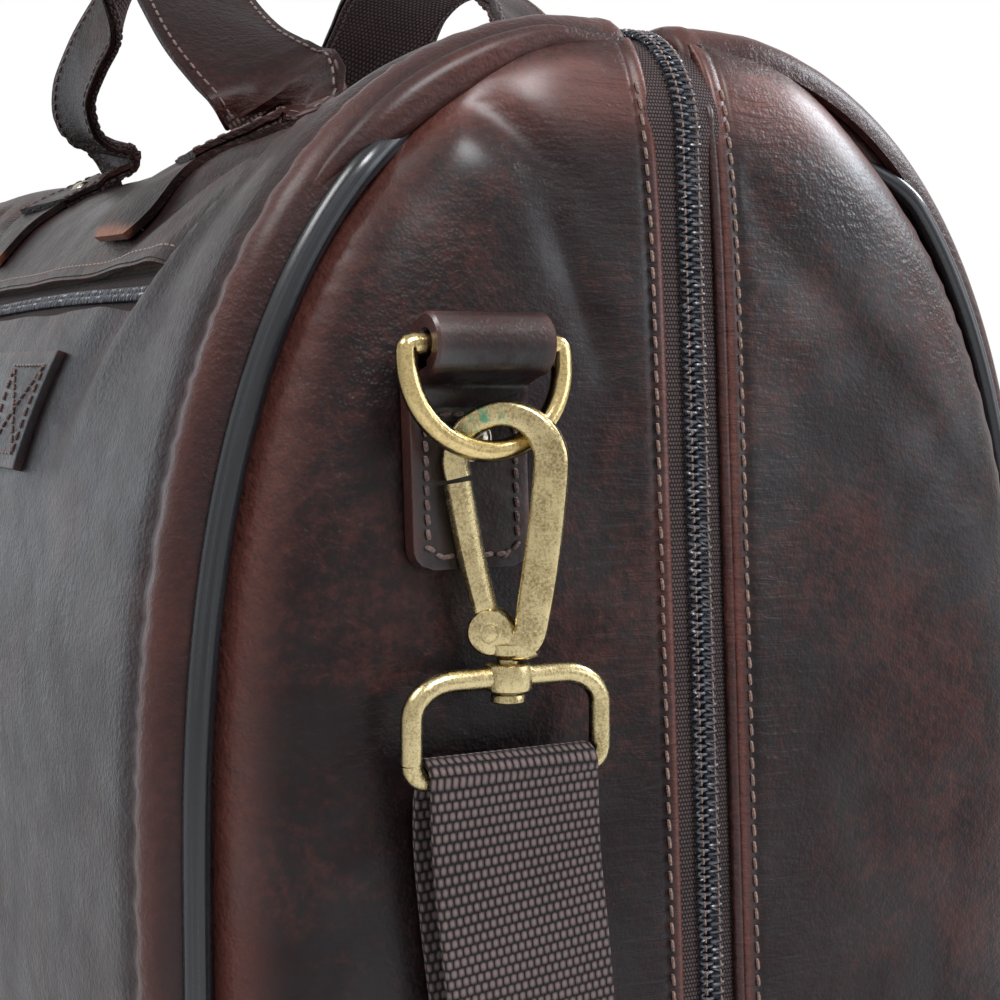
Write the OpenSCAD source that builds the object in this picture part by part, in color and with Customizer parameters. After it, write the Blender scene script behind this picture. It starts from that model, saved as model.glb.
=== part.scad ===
/* [Body] */
// Length of the body between its two end seams
wrap_l = 440; // [380:5:520]
// Depth of the body from front wall to rear wall
body_d = 232; // [200:2:270]
// Height of the body at its end seams
body_h = 286; // [250:2:320]
// Thickness of the body leather
leather_t = 2.4; // [1.8:0.1:3.2]
// How far the top sinks between the ends
top_sag = 10; // [0:1:14]
// Bulge of the end panels near the top
crown_top = 14; // [10:1:20]
// Bulge of the end panels near the bottom
crown_low = 26; // [20:1:34]
// Thickness of the flat leather base
base_t = 3; // [2:0.5:5]
// Diameter of the piping in the end seams
piping_d = 6; // [4:0.5:8]

/* [Main zip] */
// Width of the gap between the two zip facings
zip_gap = 18; // [14:1:24]
// Width of the closed chain
chain_w = 7; // [5:0.5:9]
// Thickness of the chain above its tape
chain_t = 1.8; // [1.2:0.1:2.6]
// Thickness of the zip tape
tape_t = 1.2; // [0.8:0.1:1.6]
// Radius of the zip where it turns down over an end
zip_r = 28; // [20:1:36]
// Height at which the zip stops on each end
zip_low = 55; // [40:1:80]
// Height of the main slider when the zip is closed
slider_z = 74; // [70:2:90]

/* [Front pocket] */
// Width of the pocket mouth
pocket_w = 284; // [200:4:290]
// Height of the middle of the pocket mouth
pocket_z = 229; // [215:1:232]
// Depth of the pocket pouch below its mouth
pocket_drop = 106; // [70:2:120]
// Front to back room in the pouch
pocket_room = 5.2; // [4.6:0.2:8]

/* [Front strap] */
// Length of the flat strap on the front wall
front_strap_l = 194; // [140:2:240]
// Width of that strap
front_strap_w = 31; // [24:1:40]
// Height of its centre line
front_strap_z = 199; // [185:1:205]

/* [Handles] */
// Width of a handle strap
handle_w = 38; // [25:1:40]
// Thickness of the handle leather
handle_leather_t = 2.2; // [1.6:0.1:3]
// Thickness of the webbing under it
handle_web_t = 1.8; // [1.4:0.1:2.4]
// Distance between the two anchors of a handle
handle_span = 168; // [140:2:190]
// Distance of each handle anchor from the zip
handle_y = 40; // [36:1:48]
// Height of a handle over its anchors
handle_rise = 69; // [60:1:110]
// Length of the riveted tail
tail_l = 46; // [40:1:60]

/* [Shoulder strap] */
// Width of the shoulder webbing
web_w = 37; // [30:1:40]
// Thickness of the shoulder webbing
web_t = 1.8; // [1.4:0.1:2.4]

/* [End hardware] */
// Width of the leather ring tab
tab_w = 26; // [22:1:30]
// Distance of the ring tab from the zip
tab_y = 58; // [50:1:64]
// Height of the ring pivot
ring_z = 214; // [205:1:225]
// Wire diameter of the ring
ring_wire = 4; // [3.4:0.2:5]
// Inside width of the ring
ring_in = 30; // [28:1:34]
// Wire diameter of the strap frame
frame_wire = 4.4; // [3.6:0.2:5.4]

/* [Hidden] */
$fn = 48;

// Clearance between pieces of one body, and between pieces that move
seat = 0.3;
clear = 0.4;

// The outline of the body is a superellipse above mid_z and a squarer one below it
mid_z = 100;
top_power = 2.5;
low_power = 5;
half_d = body_d / 2;
half_l = wrap_l / 2;
end_hold = 14;
sag_run = 56;

// Reach of the bag to the front and to the rear, and the shift that centres it
rear_gap = 3;
slide_wall = 1.4;
front_reach = half_d;
rear_reach = half_d + rear_gap + web_t + clear + slide_wall;
shift_y = (front_reach - rear_reach) / 2;

function smooth(t) = t <= 0 ? 0 : t >= 1 ? 1 : t * t * (3 - 2 * t);
function sag(x) = top_sag * smooth((half_l - end_hold - abs(x)) / sag_run);
function wall_y(z, x, inset) =
    let (above = z >= mid_z,
         reach = above ? body_h - sag(x) - mid_z - inset : mid_z - inset,
         power = above ? top_power : low_power)
    (half_d - inset) * pow(max(0, 1 - pow(min(1, abs(z - mid_z) / reach), power)), 1 / power);
function roof_z(y, x, inset) = mid_z + (body_h - sag(x) - mid_z - inset)
    * pow(max(0, 1 - pow(min(1, abs(y) / (half_d - inset)), top_power)), 1 / top_power);
function outline(a, x, inset) = a >= 0
    ? [-(half_d - inset) * pow(cos(a), 2 / top_power),
       mid_z + (body_h - sag(x) - mid_z - inset) * pow(sin(a), 2 / top_power)]
    : [-(half_d - inset) * pow(cos(a), 2 / low_power),
       mid_z - (mid_z - inset) * pow(-sin(a), 2 / low_power)];
function crown(z) = crown_top + (crown_low - crown_top) * (260 - z) / 190;

// Closed mesh over a grid of points: rows run along the first index
module grid_shell(outer, inner) {
    rows = len(outer);
    cols = len(outer[0]);
    count = rows * cols;
    points = [for (g = [outer, inner]) for (r = g) for (p = r) p];
    function at(i, j, k) = k * count + i * cols + j;
    faces = concat(
        [for (i = [0 : rows - 2]) for (j = [0 : cols - 2]) for (f = [
            [at(i, j, 0), at(i + 1, j, 0), at(i + 1, j + 1, 0)],
            [at(i, j, 0), at(i + 1, j + 1, 0), at(i, j + 1, 0)],
            [at(i, j, 1), at(i + 1, j + 1, 1), at(i + 1, j, 1)],
            [at(i, j, 1), at(i, j + 1, 1), at(i + 1, j + 1, 1)]]) f],
        [for (j = [0 : cols - 2]) for (f = [
            [at(0, j, 0), at(0, j + 1, 0), at(0, j + 1, 1)],
            [at(0, j, 0), at(0, j + 1, 1), at(0, j, 1)],
            [at(rows - 1, j, 0), at(rows - 1, j, 1), at(rows - 1, j + 1, 1)],
            [at(rows - 1, j, 0), at(rows - 1, j + 1, 1), at(rows - 1, j + 1, 0)]]) f],
        [for (i = [0 : rows - 2]) for (f = [
            [at(i, 0, 0), at(i, 0, 1), at(i + 1, 0, 1)],
            [at(i, 0, 0), at(i + 1, 0, 1), at(i + 1, 0, 0)],
            [at(i, cols - 1, 0), at(i + 1, cols - 1, 0), at(i + 1, cols - 1, 1)],
            [at(i, cols - 1, 0), at(i + 1, cols - 1, 1), at(i, cols - 1, 1)]]) f]);
    polyhedron(points, faces, convexity = 8);
}

// Front half of the body sleeve between two insets, open at the zip and at the base
inner_x = [half_l / 4, half_l - end_hold - sag_run, half_l - end_hold - 2 * sag_run / 3,
    half_l - end_hold - sag_run / 3, half_l - end_hold];
function wrap_x(trim) = concat([trim - half_l], [for (i = [len(inner_x) - 1 : -1 : 0]) -inner_x[i]],
    inner_x, [half_l - trim]);
wrap_low_angle = -66;
wrap_steps_top = 18;
wrap_steps_low = 9;
function slot_angle(inset) = acos(pow(zip_gap / 2 / (half_d - inset), top_power / 2));
function wrap_angles(inset) = concat(
    [for (i = [0 : wrap_steps_top]) slot_angle(inset) * (1 - i / wrap_steps_top)],
    [for (i = [1 : wrap_steps_low]) wrap_low_angle * i / wrap_steps_low]);
module half_wrap(inset, thick, trim) {
    function grid(d) = [for (x = wrap_x(trim)) [for (a = wrap_angles(d)) concat([x], outline(a, x, d))]];
    grid_shell(grid(inset), grid(inset + thick));
}

// Everything is drawn about the centre plane of the bag and shifted once
module placed() translate([0, shift_y, 0]) children();
module mirrored_y() mirror([0, 1, 0]) children();
module to_left() mirror([1, 0, 0]) children();

// The slit that the pocket zip fills, square to the front wall
pocket_h = 10;
pocket_y = -wall_y(pocket_z, 0, 0);
pocket_lean = atan2(wall_y(pocket_z - pocket_h / 2, 0, 0) - wall_y(pocket_z + pocket_h / 2, 0, 0), pocket_h);
module at_pocket() translate([0, pocket_y, pocket_z]) rotate([-pocket_lean, 0, 0]) children();
pocket_cut_depth = 9;
module pocket_slit() at_pocket() translate([-pocket_w / 2, -4, -pocket_h / 2])
    cube([pocket_w, 4 + pocket_cut_depth, pocket_h]);

module front_panel() color("#3b2622") placed() difference() {
    half_wrap(0, leather_t, 0);
    pocket_slit();
}
module rear_panel() color("#3b2622") placed() mirrored_y() half_wrap(0, leather_t, 0);

lining_t = 0.8;
module lining_front() color("#5a4a3c") placed() difference() {
    half_wrap(leather_t + seat, lining_t, end_hold / 2);
    pocket_slit();
}
module lining_rear() color("#5a4a3c") placed() mirrored_y() half_wrap(leather_t + seat, lining_t, end_hold / 2);

base_half = half_d * pow(cos(wrap_low_angle), 2 / low_power) + 5;
module base_panel() color("#2c1c19") placed()
    translate([-half_l, -base_half, 0]) cube([wrap_l, 2 * base_half, base_t]);

board_t = 2.5;
board_half = base_half - 26;
board_z = base_t + seat;
module base_board() color("#1d1a18") placed()
    translate([-half_l + end_hold, -board_half, board_z]) cube([wrap_l - 2 * end_hold, 2 * board_half, board_t]);

// The piping follows the outline inside the seam and stops short of the zip
piping_inset = 7;
piping_x = half_l + piping_d / 2 + seat;
piping_gap = zip_gap / 2 + 6;
piping_sides = 8;
module piping_half() {
    top_a = acos(pow(piping_gap / (half_d - piping_inset), top_power / 2));
    angles = concat([for (i = [0 : 20]) top_a * (1 - i / 20)], [for (i = [1 : 14]) -90 * i / 14 + (i == 14 ? 0.4 : 0)]);
    mids = [for (a = angles) outline(a, half_l, piping_inset)];
    last = len(mids) - 1;
    dirs = [for (i = [0 : last]) let (d = mids[min(last, i + 1)] - mids[max(0, i - 1)]) d / norm(d)];
    points = [for (i = [0 : last]) for (k = [0 : piping_sides - 1]) let (a = 360 * k / piping_sides,
        r = piping_d / 2) [piping_x + r * cos(a), mids[i].x - dirs[i].y * r * sin(a), mids[i].y + dirs[i].x * r * sin(a)]];
    faces = concat(
        [for (i = [0 : last - 1]) for (k = [0 : piping_sides - 1]) let (n = (k + 1) % piping_sides)
            for (f = [[i * piping_sides + k, (i + 1) * piping_sides + k, (i + 1) * piping_sides + n],
                      [i * piping_sides + k, (i + 1) * piping_sides + n, i * piping_sides + n]]) f],
        [[for (k = [0 : piping_sides - 1]) k], [for (k = [piping_sides - 1 : -1 : 0]) last * piping_sides + k]]);
    polyhedron(points, faces, convexity = 4);
}
module piping() {
    piping_half();
    mirrored_y() piping_half();
}
module piping_right() color("#26282c") placed() piping();
module piping_left() color("#26282c") placed() to_left() piping();

// End panel: a D that crowns outwards and turns in sharply at its rim
rim_inset = piping_inset + piping_d / 2 - seat;
rim_power = 14;
rim_steps = [0, 0.35, 0.62, 0.78, 0.86, 0.92, 0.96, 0.985, 1];
panel_angles = [for (i = [0 : 15]) 90 * (1 - i / 15), for (i = [1 : 12]) -90 * i / 12];
function panel_point(a, q, d, back) = let (o = outline(a, half_l, rim_inset + d), z = mid_z + (o.y - mid_z) * q)
    [half_l + seat + max(0, (crown(z) - seat) * (1 - pow(q, rim_power)) - back * (1 - pow(q, 40))), o.x * q, z];
module half_end() {
    function grid(d, back) = [for (q = rim_steps) [for (a = panel_angles) panel_point(a, max(q, 0.004), d, back)]];
    difference() {
        grid_shell(grid(leather_t, leather_t), grid(0, 0));
        translate([half_l - 1, -zip_gap / 2, zip_low]) cube([crown_low + 20, zip_gap, body_h]);
        translate([half_l - 1, -seat / 2, -1]) cube([crown_low + 20, zip_gap, body_h]);
    }
}
module end_right_front() color("#42241f") placed() half_end();
module end_right_rear() color("#42241f") placed() mirrored_y() half_end();
module end_left_front() color("#42241f") placed() to_left() half_end();
module end_left_rear() color("#42241f") placed() to_left() mirrored_y() half_end();

// Path of the zip in the centre plane, a depth below its outer surface
zip_turn_z = body_h - zip_r;
zip_turn_x = half_l + crown(zip_turn_z) - zip_r;
zip_arc_steps = 10;
function zip_half(depth, low) = concat(
    [for (z = [low, (low + zip_turn_z) / 2]) [half_l + crown(z) - depth, z]],
    [for (i = [0 : zip_arc_steps]) let (a = 90 * i / zip_arc_steps)
        [zip_turn_x + (zip_r - depth) * cos(a), zip_turn_z + (zip_r - depth) * sin(a)]],
    [for (x = [half_l - end_hold - sag_run / 3, half_l - end_hold - 2 * sag_run / 3, half_l - end_hold - sag_run])
        [x, body_h - sag(x) - depth]]);
function reversed(list) = [for (i = [len(list) - 1 : -1 : 0]) list[i]];
function zip_line(depth, low) = let (h = zip_half(depth, low))
    concat(h, reversed([for (p = h) [-p.x, p.y]]));
module zip_band(d0, d1, low, y0, y1) translate([0, y1, 0]) rotate([90, 0, 0]) linear_extrude(y1 - y0)
    polygon(concat(zip_line(d0, low), reversed(zip_line(d1, low))));

chain_gap = 0.3;
module zip_tape() color("#3a2a26") placed()
    zip_band(chain_t, chain_t + tape_t, zip_low + seat, -zip_gap / 2 + seat, zip_gap / 2 - seat);
module zip_coil_front() color("#33343c") placed()
    zip_band(0, chain_t, zip_low + 6, -chain_w / 2, -chain_gap / 2);
module zip_coil_rear() color("#33343c") placed()
    zip_band(0, chain_t, zip_low + 6, chain_gap / 2, chain_w / 2);

patch_w = 34;
patch_h = 40;
patch_t = 2;
patch_top = zip_low + 4;
module zip_end_patch() {
    lean = atan2(crown(patch_top - patch_h) - crown(patch_top), patch_h);
    translate([half_l + crown(patch_top) + seat, -patch_w / 2, patch_top]) rotate([0, 90 - lean, 0])
        cube([patch_h, patch_w, patch_t]);
}
module zip_end_patches() color("#42241f") placed() {
    zip_end_patch();
    to_left() zip_end_patch();
}

// Slider of the main zip: a plate with flanges beside the chain and a bridge for the pull
slider_l = 14;
slider_w = 12;
slider_t = 1.6;
slider_flange = 1.4;
bridge_h = 4;
bridge_hole = 2.4;
end_lean = atan2(crown_low - crown_top, 190);
// On the left end: local z points away from the panel and local x down the zip
module at_slider() to_left() translate([half_l + crown(slider_z), 0, slider_z])
    rotate([0, 90 - end_lean, 0]) children();
module main_slider() color("#a58f5f") placed() at_slider() {
    translate([-slider_l / 2, -slider_w / 2, clear]) cube([slider_l, slider_w, slider_t]);
    for (s = [-1, 1]) translate([-slider_l / 2, s * (slider_w - slider_flange) / 2 - slider_flange / 2, clear - chain_t])
        cube([slider_l, slider_flange, chain_t + slider_t]);
    translate([0, 1.5, clear + slider_t]) rotate([90, 0, 0]) linear_extrude(3) difference() {
        polygon([[-5, -0.2], [-4, bridge_h], [4, bridge_h], [5, -0.2]]);
        translate([-2.6, 0.9]) square([5.2, bridge_hole]);
    }
}
// The pull hangs from the bridge by a pin of its own wire and lies on the zip
pull_pivot = clear + slider_t + 0.9 + bridge_hole / 2;
pull_wire = 1.8;
pull_l = 34;
pull_w = 9;
pull_t = 2;
pull_side = 2;
module main_pull() color("#a58f5f") placed() at_slider() translate([0, 0, pull_pivot]) {
    rotate([90, 0, 0]) translate([0, 0, -pull_w / 2]) cylinder(d = pull_wire, h = pull_w);
    for (s = [-1, 1]) translate([0, s * (pull_w - pull_side) / 2 - pull_side / 2, -pull_wire / 2])
        cube([9.4, pull_side, pull_wire]);
    translate([9, -pull_w / 2, -pull_wire / 2]) cube([pull_l - 9, pull_w, pull_t]);
}

// Front pocket: tape and chain in the slit, drawn flat and leaned onto the wall
pocket_chain_w = 5;
pocket_chain_t = 1.5;
pocket_recess = 1.6;
module pocket_tape() color("#3a2a26") placed() at_pocket()
    translate([-pocket_w / 2 + seat, pocket_recess + pocket_chain_t, -pocket_h / 2 + seat])
    cube([pocket_w - 2 * seat, tape_t, pocket_h - 2 * seat]);
module pocket_coil() color("#33343c") placed() at_pocket()
    translate([-pocket_w / 2 + 3, pocket_recess, -pocket_chain_w / 2])
    cube([pocket_w - 6, pocket_chain_t, pocket_chain_w]);

pouch_t = 1;
pouch_z = pocket_z + 2;
pouch_w = pocket_w + 6;
pouch_front = -wall_y(pouch_z, 0, leather_t + seat + lining_t) + 1.4;
module pocket_pouch() color("#5a4a3c") placed() difference() {
    translate([-pouch_w / 2, pouch_front, pouch_z - pocket_drop])
        cube([pouch_w, pocket_room + pouch_t, pocket_drop]);
    translate([-pouch_w / 2 + pouch_t, pouch_front - 1, pouch_z - pocket_drop + pouch_t])
        cube([pouch_w - 2 * pouch_t, pocket_room + 1, pocket_drop - 2 * pouch_t]);
}

pocket_slider_x = -pocket_w / 2 + 16;
pocket_slider_l = 10;
pocket_slider_w = 8;
module pocket_slider() color("#a58f5f") placed() at_pocket() translate([pocket_slider_x, pocket_recess - clear, 0]) {
    translate([-pocket_slider_l / 2, -1.4, -pocket_slider_w / 2]) cube([pocket_slider_l, 1.4, pocket_slider_w]);
    translate([-1.5, -1.2, 0]) rotate([0, 90, 0]) linear_extrude(3) difference() {
        polygon([[-4, 0], [-3.4, -4], [3.4, -4], [4, 0]]);
        translate([-2, -3.1]) square([4, 2.2]);
    }
}
pocket_pivot_y = pocket_recess - clear - 1.2 - 2;
module pocket_pull() color("#a58f5f") placed() at_pocket() translate([pocket_slider_x, pocket_pivot_y, 0]) {
    translate([-3.5, 0, 0]) rotate([0, 90, 0]) cylinder(d = 1.6, h = 7);
    for (s = [-1, 1]) translate([s * 2.6 - 0.9, -0.8, -7.4]) cube([1.8, 1.6, 7.4]);
    translate([-3.5, -0.8, -13.6]) cube([7, 1.6, 6.4]);
}

// Strap that is stitched flat across the front wall
front_strap_t = 4.6;
module front_strap() color("#4a2c25") placed() difference() {
    y0 = wall_y(front_strap_z - front_strap_w / 2, 0, 0);
    y1 = wall_y(front_strap_z + front_strap_w / 2, 0, 0);
    lean = atan2(y0 - y1, front_strap_w);
    translate([0, -(y0 + y1) / 2, front_strap_z]) rotate([-lean, 0, 0])
        translate([-front_strap_l / 2, -front_strap_t - 1.1, -front_strap_w / 2])
        cube([front_strap_l, front_strap_t, front_strap_w]);
}

// Handles: straps that lift off their riveted tails, twist and arch between them
anchor_x = handle_span / 2;
anchor_z = roof_z(handle_y, 0, 0);
arch_z = anchor_z + 7.3;
// Middle line of the front arch, which leans over to the left: share of anchor_x, depth, share of the rise
front_arch = [for (p = [[1, 3, 0], [1.012, 6, 0.039], [1.006, 6, 0.087], [0.958, 3, 0.161], [0.869, -1, 0.248],
    [0.726, -4.5, 0.372], [0.548, -6, 0.535], [0.369, -6, 0.691], [0.19, -6, 0.816], [0, -6, 0.877],
    [-0.179, -6, 0.845], [-0.357, -8, 0.758], [-0.53, -11, 0.623], [-0.676, -13.5, 0.478],
    [-0.779, -13, 0.335], [-0.857, -8.5, 0.228], [-0.917, -1, 0.162], [-0.946, 4.5, 0.097],
    [-0.952, 5.5, 0.039], [-0.952, 2, 0.01]]) [anchor_x * p.x, p.y - handle_y, arch_z + handle_rise * p.z]];
// Direction of the strap's width at each of those points
front_wide = [[0.97, -0.2, 0], [0.92, 0.2, 0.05], [0.68, 0.68, 0.1], [0.3, 0.92, 0.2], [0.1, 0.96, 0.24],
    [0, 0.98, 0.14], [-0.03, 0.99, 0.02], [-0.03, 0.99, -0.02], [-0.02, 0.98, 0.1], [-0.05, 0.93, 0.35],
    [-0.22, 0.6, 0.75], [-0.45, 0.25, 0.85], [-0.6, 0.16, 0.78], [-0.72, 0.06, 0.69], [-0.83, -0.12, 0.54],
    [-0.92, -0.22, 0.3], [-0.97, -0.18, 0.1], [-0.98, 0, 0.05], [-0.99, 0.02, 0], [-0.99, 0.05, 0]];
// The rear arch stands up evenly, so only its half is given
rear_half = [
    [anchor_x, 2 - handle_y, arch_z + 0.7],
    [anchor_x + 2, 6 - handle_y, arch_z + 3.3],
    [anchor_x + 4.5, 9.5 - handle_y, arch_z + 6.7],
    [anchor_x + 4.5, 8 - handle_y, arch_z + 10.5],
    [anchor_x + 0.5, 2 - handle_y, arch_z + 17],
    [anchor_x - 6, -5 - handle_y, arch_z + 24.5],
    [anchor_x - 18, -12 - handle_y, arch_z + 0.5 * handle_rise],
    [anchor_x - 36, -13 - handle_y, arch_z + 0.7 * handle_rise],
    [anchor_x - 59, -10 - handle_y, arch_z + 0.85 * handle_rise],
    [0, -8.5 - handle_y, arch_z + 0.9 * handle_rise]];
rear_wide_half = [[0.97, -0.2, 0], [0.95, -0.15, 0.08], [0.93, 0.2, 0.08], [0.75, 0.62, 0.05], [0.58, 0.8, 0.12],
    [0.48, 0.85, 0.2], [0.39, 0.88, 0.22], [0.25, 0.94, 0.2], [0.1, 0.98, 0.15], [0, 0.99, 0.12]];
function unit(v) = v / norm(v);
function flip_x(v) = [-v.x, v.y, v.z];
function both_halves(h) = concat(h, [for (i = [len(h) - 2 : -1 : 0]) flip_x(h[i])]);
function curve(p, t) = let (last = len(p) - 1, s = min(t * last, last - 0.0001), i = floor(s), u = s - i,
    a = p[max(0, i - 1)], b = p[i], c = p[i + 1], d = p[min(last, i + 2)])
    0.5 * (2 * b + (c - a) * u + (2 * a - 5 * b + 4 * c - d) * u * u + (3 * b - a - 3 * c + d) * u * u * u);
rear_arch = both_halves(rear_half);
rear_wide = both_halves(rear_wide_half);
arch_steps = 54;
module handle_layer(line, wides, low, high, half) {
    function arch_at(i) = curve(line, i / arch_steps);
    function side(i, off, k) = let (run = unit(arch_at(min(arch_steps, i + 1)) - arch_at(max(0, i - 1))),
        given = curve(wides, i / arch_steps), wide = unit(given - run * (run * given)))
        arch_at(i) + cross(wide, run) * off + wide * half * k;
    function grid(off) = [for (i = [0 : arch_steps]) [for (k = [-1, 0, 1]) side(i, off, k)]];
    grid_shell(grid(low), grid(high));
}
module handle_leather(line, wides) handle_layer(line, wides, 0.15, handle_leather_t, handle_w / 2);
module handle_webbing(line, wides) handle_layer(line, wides, -handle_web_t, -0.15, handle_w / 2 - 1);
module front_handle_leather() color("#3f221e") placed() handle_leather(front_arch, front_wide);
module front_handle_webbing() color("#33231f") placed() handle_webbing(front_arch, front_wide);
module rear_handle_leather() color("#3f221e") placed() mirrored_y() handle_leather(rear_arch, rear_wide);
module rear_handle_webbing() color("#33231f") placed() mirrored_y() handle_webbing(rear_arch, rear_wide);

// The riveted tails follow the shoulder down from the anchors
tail_lean = 11;
tail_up = 6;
tail_t = 2.2;
tail_angles = [for (i = [0 : 12]) 78 - 38 * i / 12];
module tail_plan() translate([anchor_x, -handle_y]) rotate(90 - tail_lean) polygon([
    [tail_up, -handle_w / 2], [tail_up, handle_w / 2], [-tail_l + 14, handle_w / 2],
    [-tail_l, handle_w / 6], [-tail_l, -handle_w / 6], [-tail_l + 14, -handle_w / 2]]);
module tail() intersection() {
    translate([anchor_x + handle_w, 0, 0]) rotate([90, 0, -90]) linear_extrude(2 * handle_w) polygon(concat(
        [for (a = tail_angles) let (o = outline(a, 0, -seat)) [-o.x, o.y]],
        reversed([for (a = tail_angles) let (o = outline(a, 0, -seat - tail_t)) [-o.x, o.y]])));
    translate([0, 0, mid_z]) linear_extrude(body_h) tail_plan();
}
rivet_d = 3;
rivet_cap_d = 9;
rivet_back = 5;
rivet_lean = atan2(roof_z(handle_y, 0, 0) - roof_z(handle_y + 10, 0, 0), 10);
module at_rivet() translate([anchor_x - 1, -handle_y - rivet_back, roof_z(handle_y + rivet_back, 0, 0)])
    rotate([rivet_lean, 0, 0]) children();
module tails() difference() {
    for (s = [0, 1]) mirror([s, 0, 0]) tail();
    for (s = [0, 1]) mirror([s, 0, 0]) at_rivet() translate([0, 0, -1]) cylinder(d = rivet_d + 2 * seat, h = 9);
}
module front_handle_tails() color("#4a2c25") placed() tails();
module rear_handle_tails() color("#4a2c25") placed() mirrored_y() tails();
module rivet() at_rivet() {
    translate([0, 0, 0.3]) cylinder(d = rivet_d, h = tail_t + 1.2);
    translate([0, 0, tail_t + 0.9]) rotate_extrude() intersection() {
        translate([0, -6]) circle(r = 8);
        square([rivet_cap_d / 2, 3]);
    }
}
module handle_rivets() color("#8d8779") placed() for (s = [0, 1]) for (r = [0, 1])
    mirror([s, 0, 0]) mirror([0, r, 0]) rivet();

// Leather tab that holds the ring on an end panel
tab_t = 1.8;
tab_x = half_l + crown(ring_z) + seat;
tab_low = 0.8;
plate_l = 45;
loop_r = ring_wire / 2 + clear;
loop_wall = 3.2;
pivot_x = tab_x + 12.2;
tab_rivet_z = -19;
module at_tab() translate([tab_x, -tab_y, ring_z]) rotate([0, -end_lean, 0]) children();
module tab_plate() difference() {
    translate([tab_low, -tab_w / 2, -plate_l]) cube([2 * tab_t, tab_w, plate_l - loop_r]);
    translate([-1, 0, tab_rivet_z]) rotate([0, 90, 0]) cylinder(d = rivet_d + 2 * seat, h = 9);
}
module ring_tab() {
    at_tab() tab_plate();
    translate([pivot_x, -tab_y - tab_w / 2, ring_z]) rotate([-90, 0, 0]) linear_extrude(tab_w) difference() {
        union() {
            circle(r = loop_r + loop_wall);
            translate([tab_x + tab_low - pivot_x, -loop_r]) square([pivot_x - tab_x - tab_low, 2 * loop_r + loop_wall]);
        }
        circle(r = loop_r);
    }
}
module ring_tab_right() color("#42241f") placed() ring_tab();
module ring_tab_left() color("#42241f") placed() to_left() ring_tab();
module tab_rivet() at_tab() translate([tab_low, 0, tab_rivet_z]) rotate([0, 90, 0]) {
    translate([0, 0, 0.2]) cylinder(d = rivet_d, h = 2 * tab_t);
    translate([0, 0, 2 * tab_t + 0.1]) cylinder(d = rivet_cap_d, h = 0.8);
}
module tab_rivets() color("#8d8779") placed() {
    tab_rivet();
    to_left() tab_rivet();
}

// The ring leans out from its tab
ring_half = ring_in / 2 + ring_wire / 2;
ring_drop = 21;
ring_tilt = 7;
module wire_bend(r, d) rotate_extrude(angle = 180) translate([r, 0]) circle(d = d);
module ring() translate([pivot_x, -tab_y, ring_z]) rotate([0, -ring_tilt, 0]) rotate([90, 0, 90]) {
    translate([-ring_half, 0, 0]) rotate([0, 90, 0]) cylinder(d = ring_wire, h = 2 * ring_half);
    for (s = [-1, 1]) translate([s * ring_half, 0, 0]) {
        sphere(d = ring_wire);
        rotate([90, 0, 0]) cylinder(d = ring_wire, h = ring_drop - ring_half);
    }
    translate([0, ring_half - ring_drop, 0]) mirror([0, 1, 0]) wire_bend(ring_half, ring_wire);
}
module ring_right() color("#b9a570") placed() ring();
module ring_left() color("#b9a570") placed() to_left() ring();

// Trigger hook: an eye through the ring, a fixed arm, a sprung gate and a swivel stem
hang_x = pivot_x + ring_drop * sin(ring_tilt);
hang_y = tab_y - 3.8;
hook_turn = 36;
hook_wire = 4.6;
hook_r = 10.2;
hook_len = 50.6;
hook_play = 3.4;
hook_top_z = ring_z - ring_drop * cos(ring_tilt) + ring_wire / 2 + hook_wire + hook_play;
eye_z = hook_top_z - hook_r - hook_wire / 2;
hook_base_z = hook_top_z - hook_len;
gate_pivot_z = hook_base_z + 5;
gate_pivot_y = -3.2;
gate_pin_d = 2.4;
gate_boss_d = 7;
stem_d = 4.4;
collar_z = hook_base_z - 4;
module hang_plane() translate([hang_x, -hang_y, 0]) rotate([90, 0, 90]) children();
module hook_plane() translate([hang_x, -hang_y, 0]) rotate([0, 0, -hook_turn]) rotate([90, 0, 90]) children();
module bar(a, b, d) hull() {
    translate(a) sphere(d = d, $fn = 20);
    translate(b) sphere(d = d, $fn = 20);
}
module hook() {
    hook_plane() {
        translate([0, eye_z, 0]) rotate_extrude(angle = 200) translate([hook_r, 0]) circle(d = hook_wire);
        bar([hook_r, eye_z, 0], [hook_r - 0.4, eye_z - 7, 0], hook_wire);
        bar([hook_r - 0.4, eye_z - 7, 0], [4.2, hook_base_z + 6, 0], hook_wire);
        difference() {
            translate([-6.8, hook_base_z, -3.2]) cube([13.6, 10, 6.4]);
            translate([gate_pivot_y, gate_pivot_z, -2.3]) cylinder(d = gate_boss_d + 0.8, h = 4.6);
            translate([-10, gate_pivot_z - gate_boss_d / 2 - 0.4, -2.3]) cube([10 + gate_pivot_y, 20, 4.6]);
            translate([-10, gate_pivot_z, -2.3]) cube([10 + gate_pivot_y + gate_boss_d / 2 + 0.4, 20, 4.6]);
            translate([gate_pivot_y, gate_pivot_z, -5]) cylinder(d = gate_pin_d + 0.1, h = 10);
        }
    }
    translate([hang_x, -hang_y, collar_z - 3.2]) cylinder(d = stem_d, h = hook_base_z - collar_z + 4);
    translate([hang_x, -hang_y, collar_z - 5.2]) cylinder(d = 7, h = 2.2);
}
module hook_right() color("#b9a570") placed() hook();
module hook_left() color("#b9a570") placed() to_left() hook();

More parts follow.
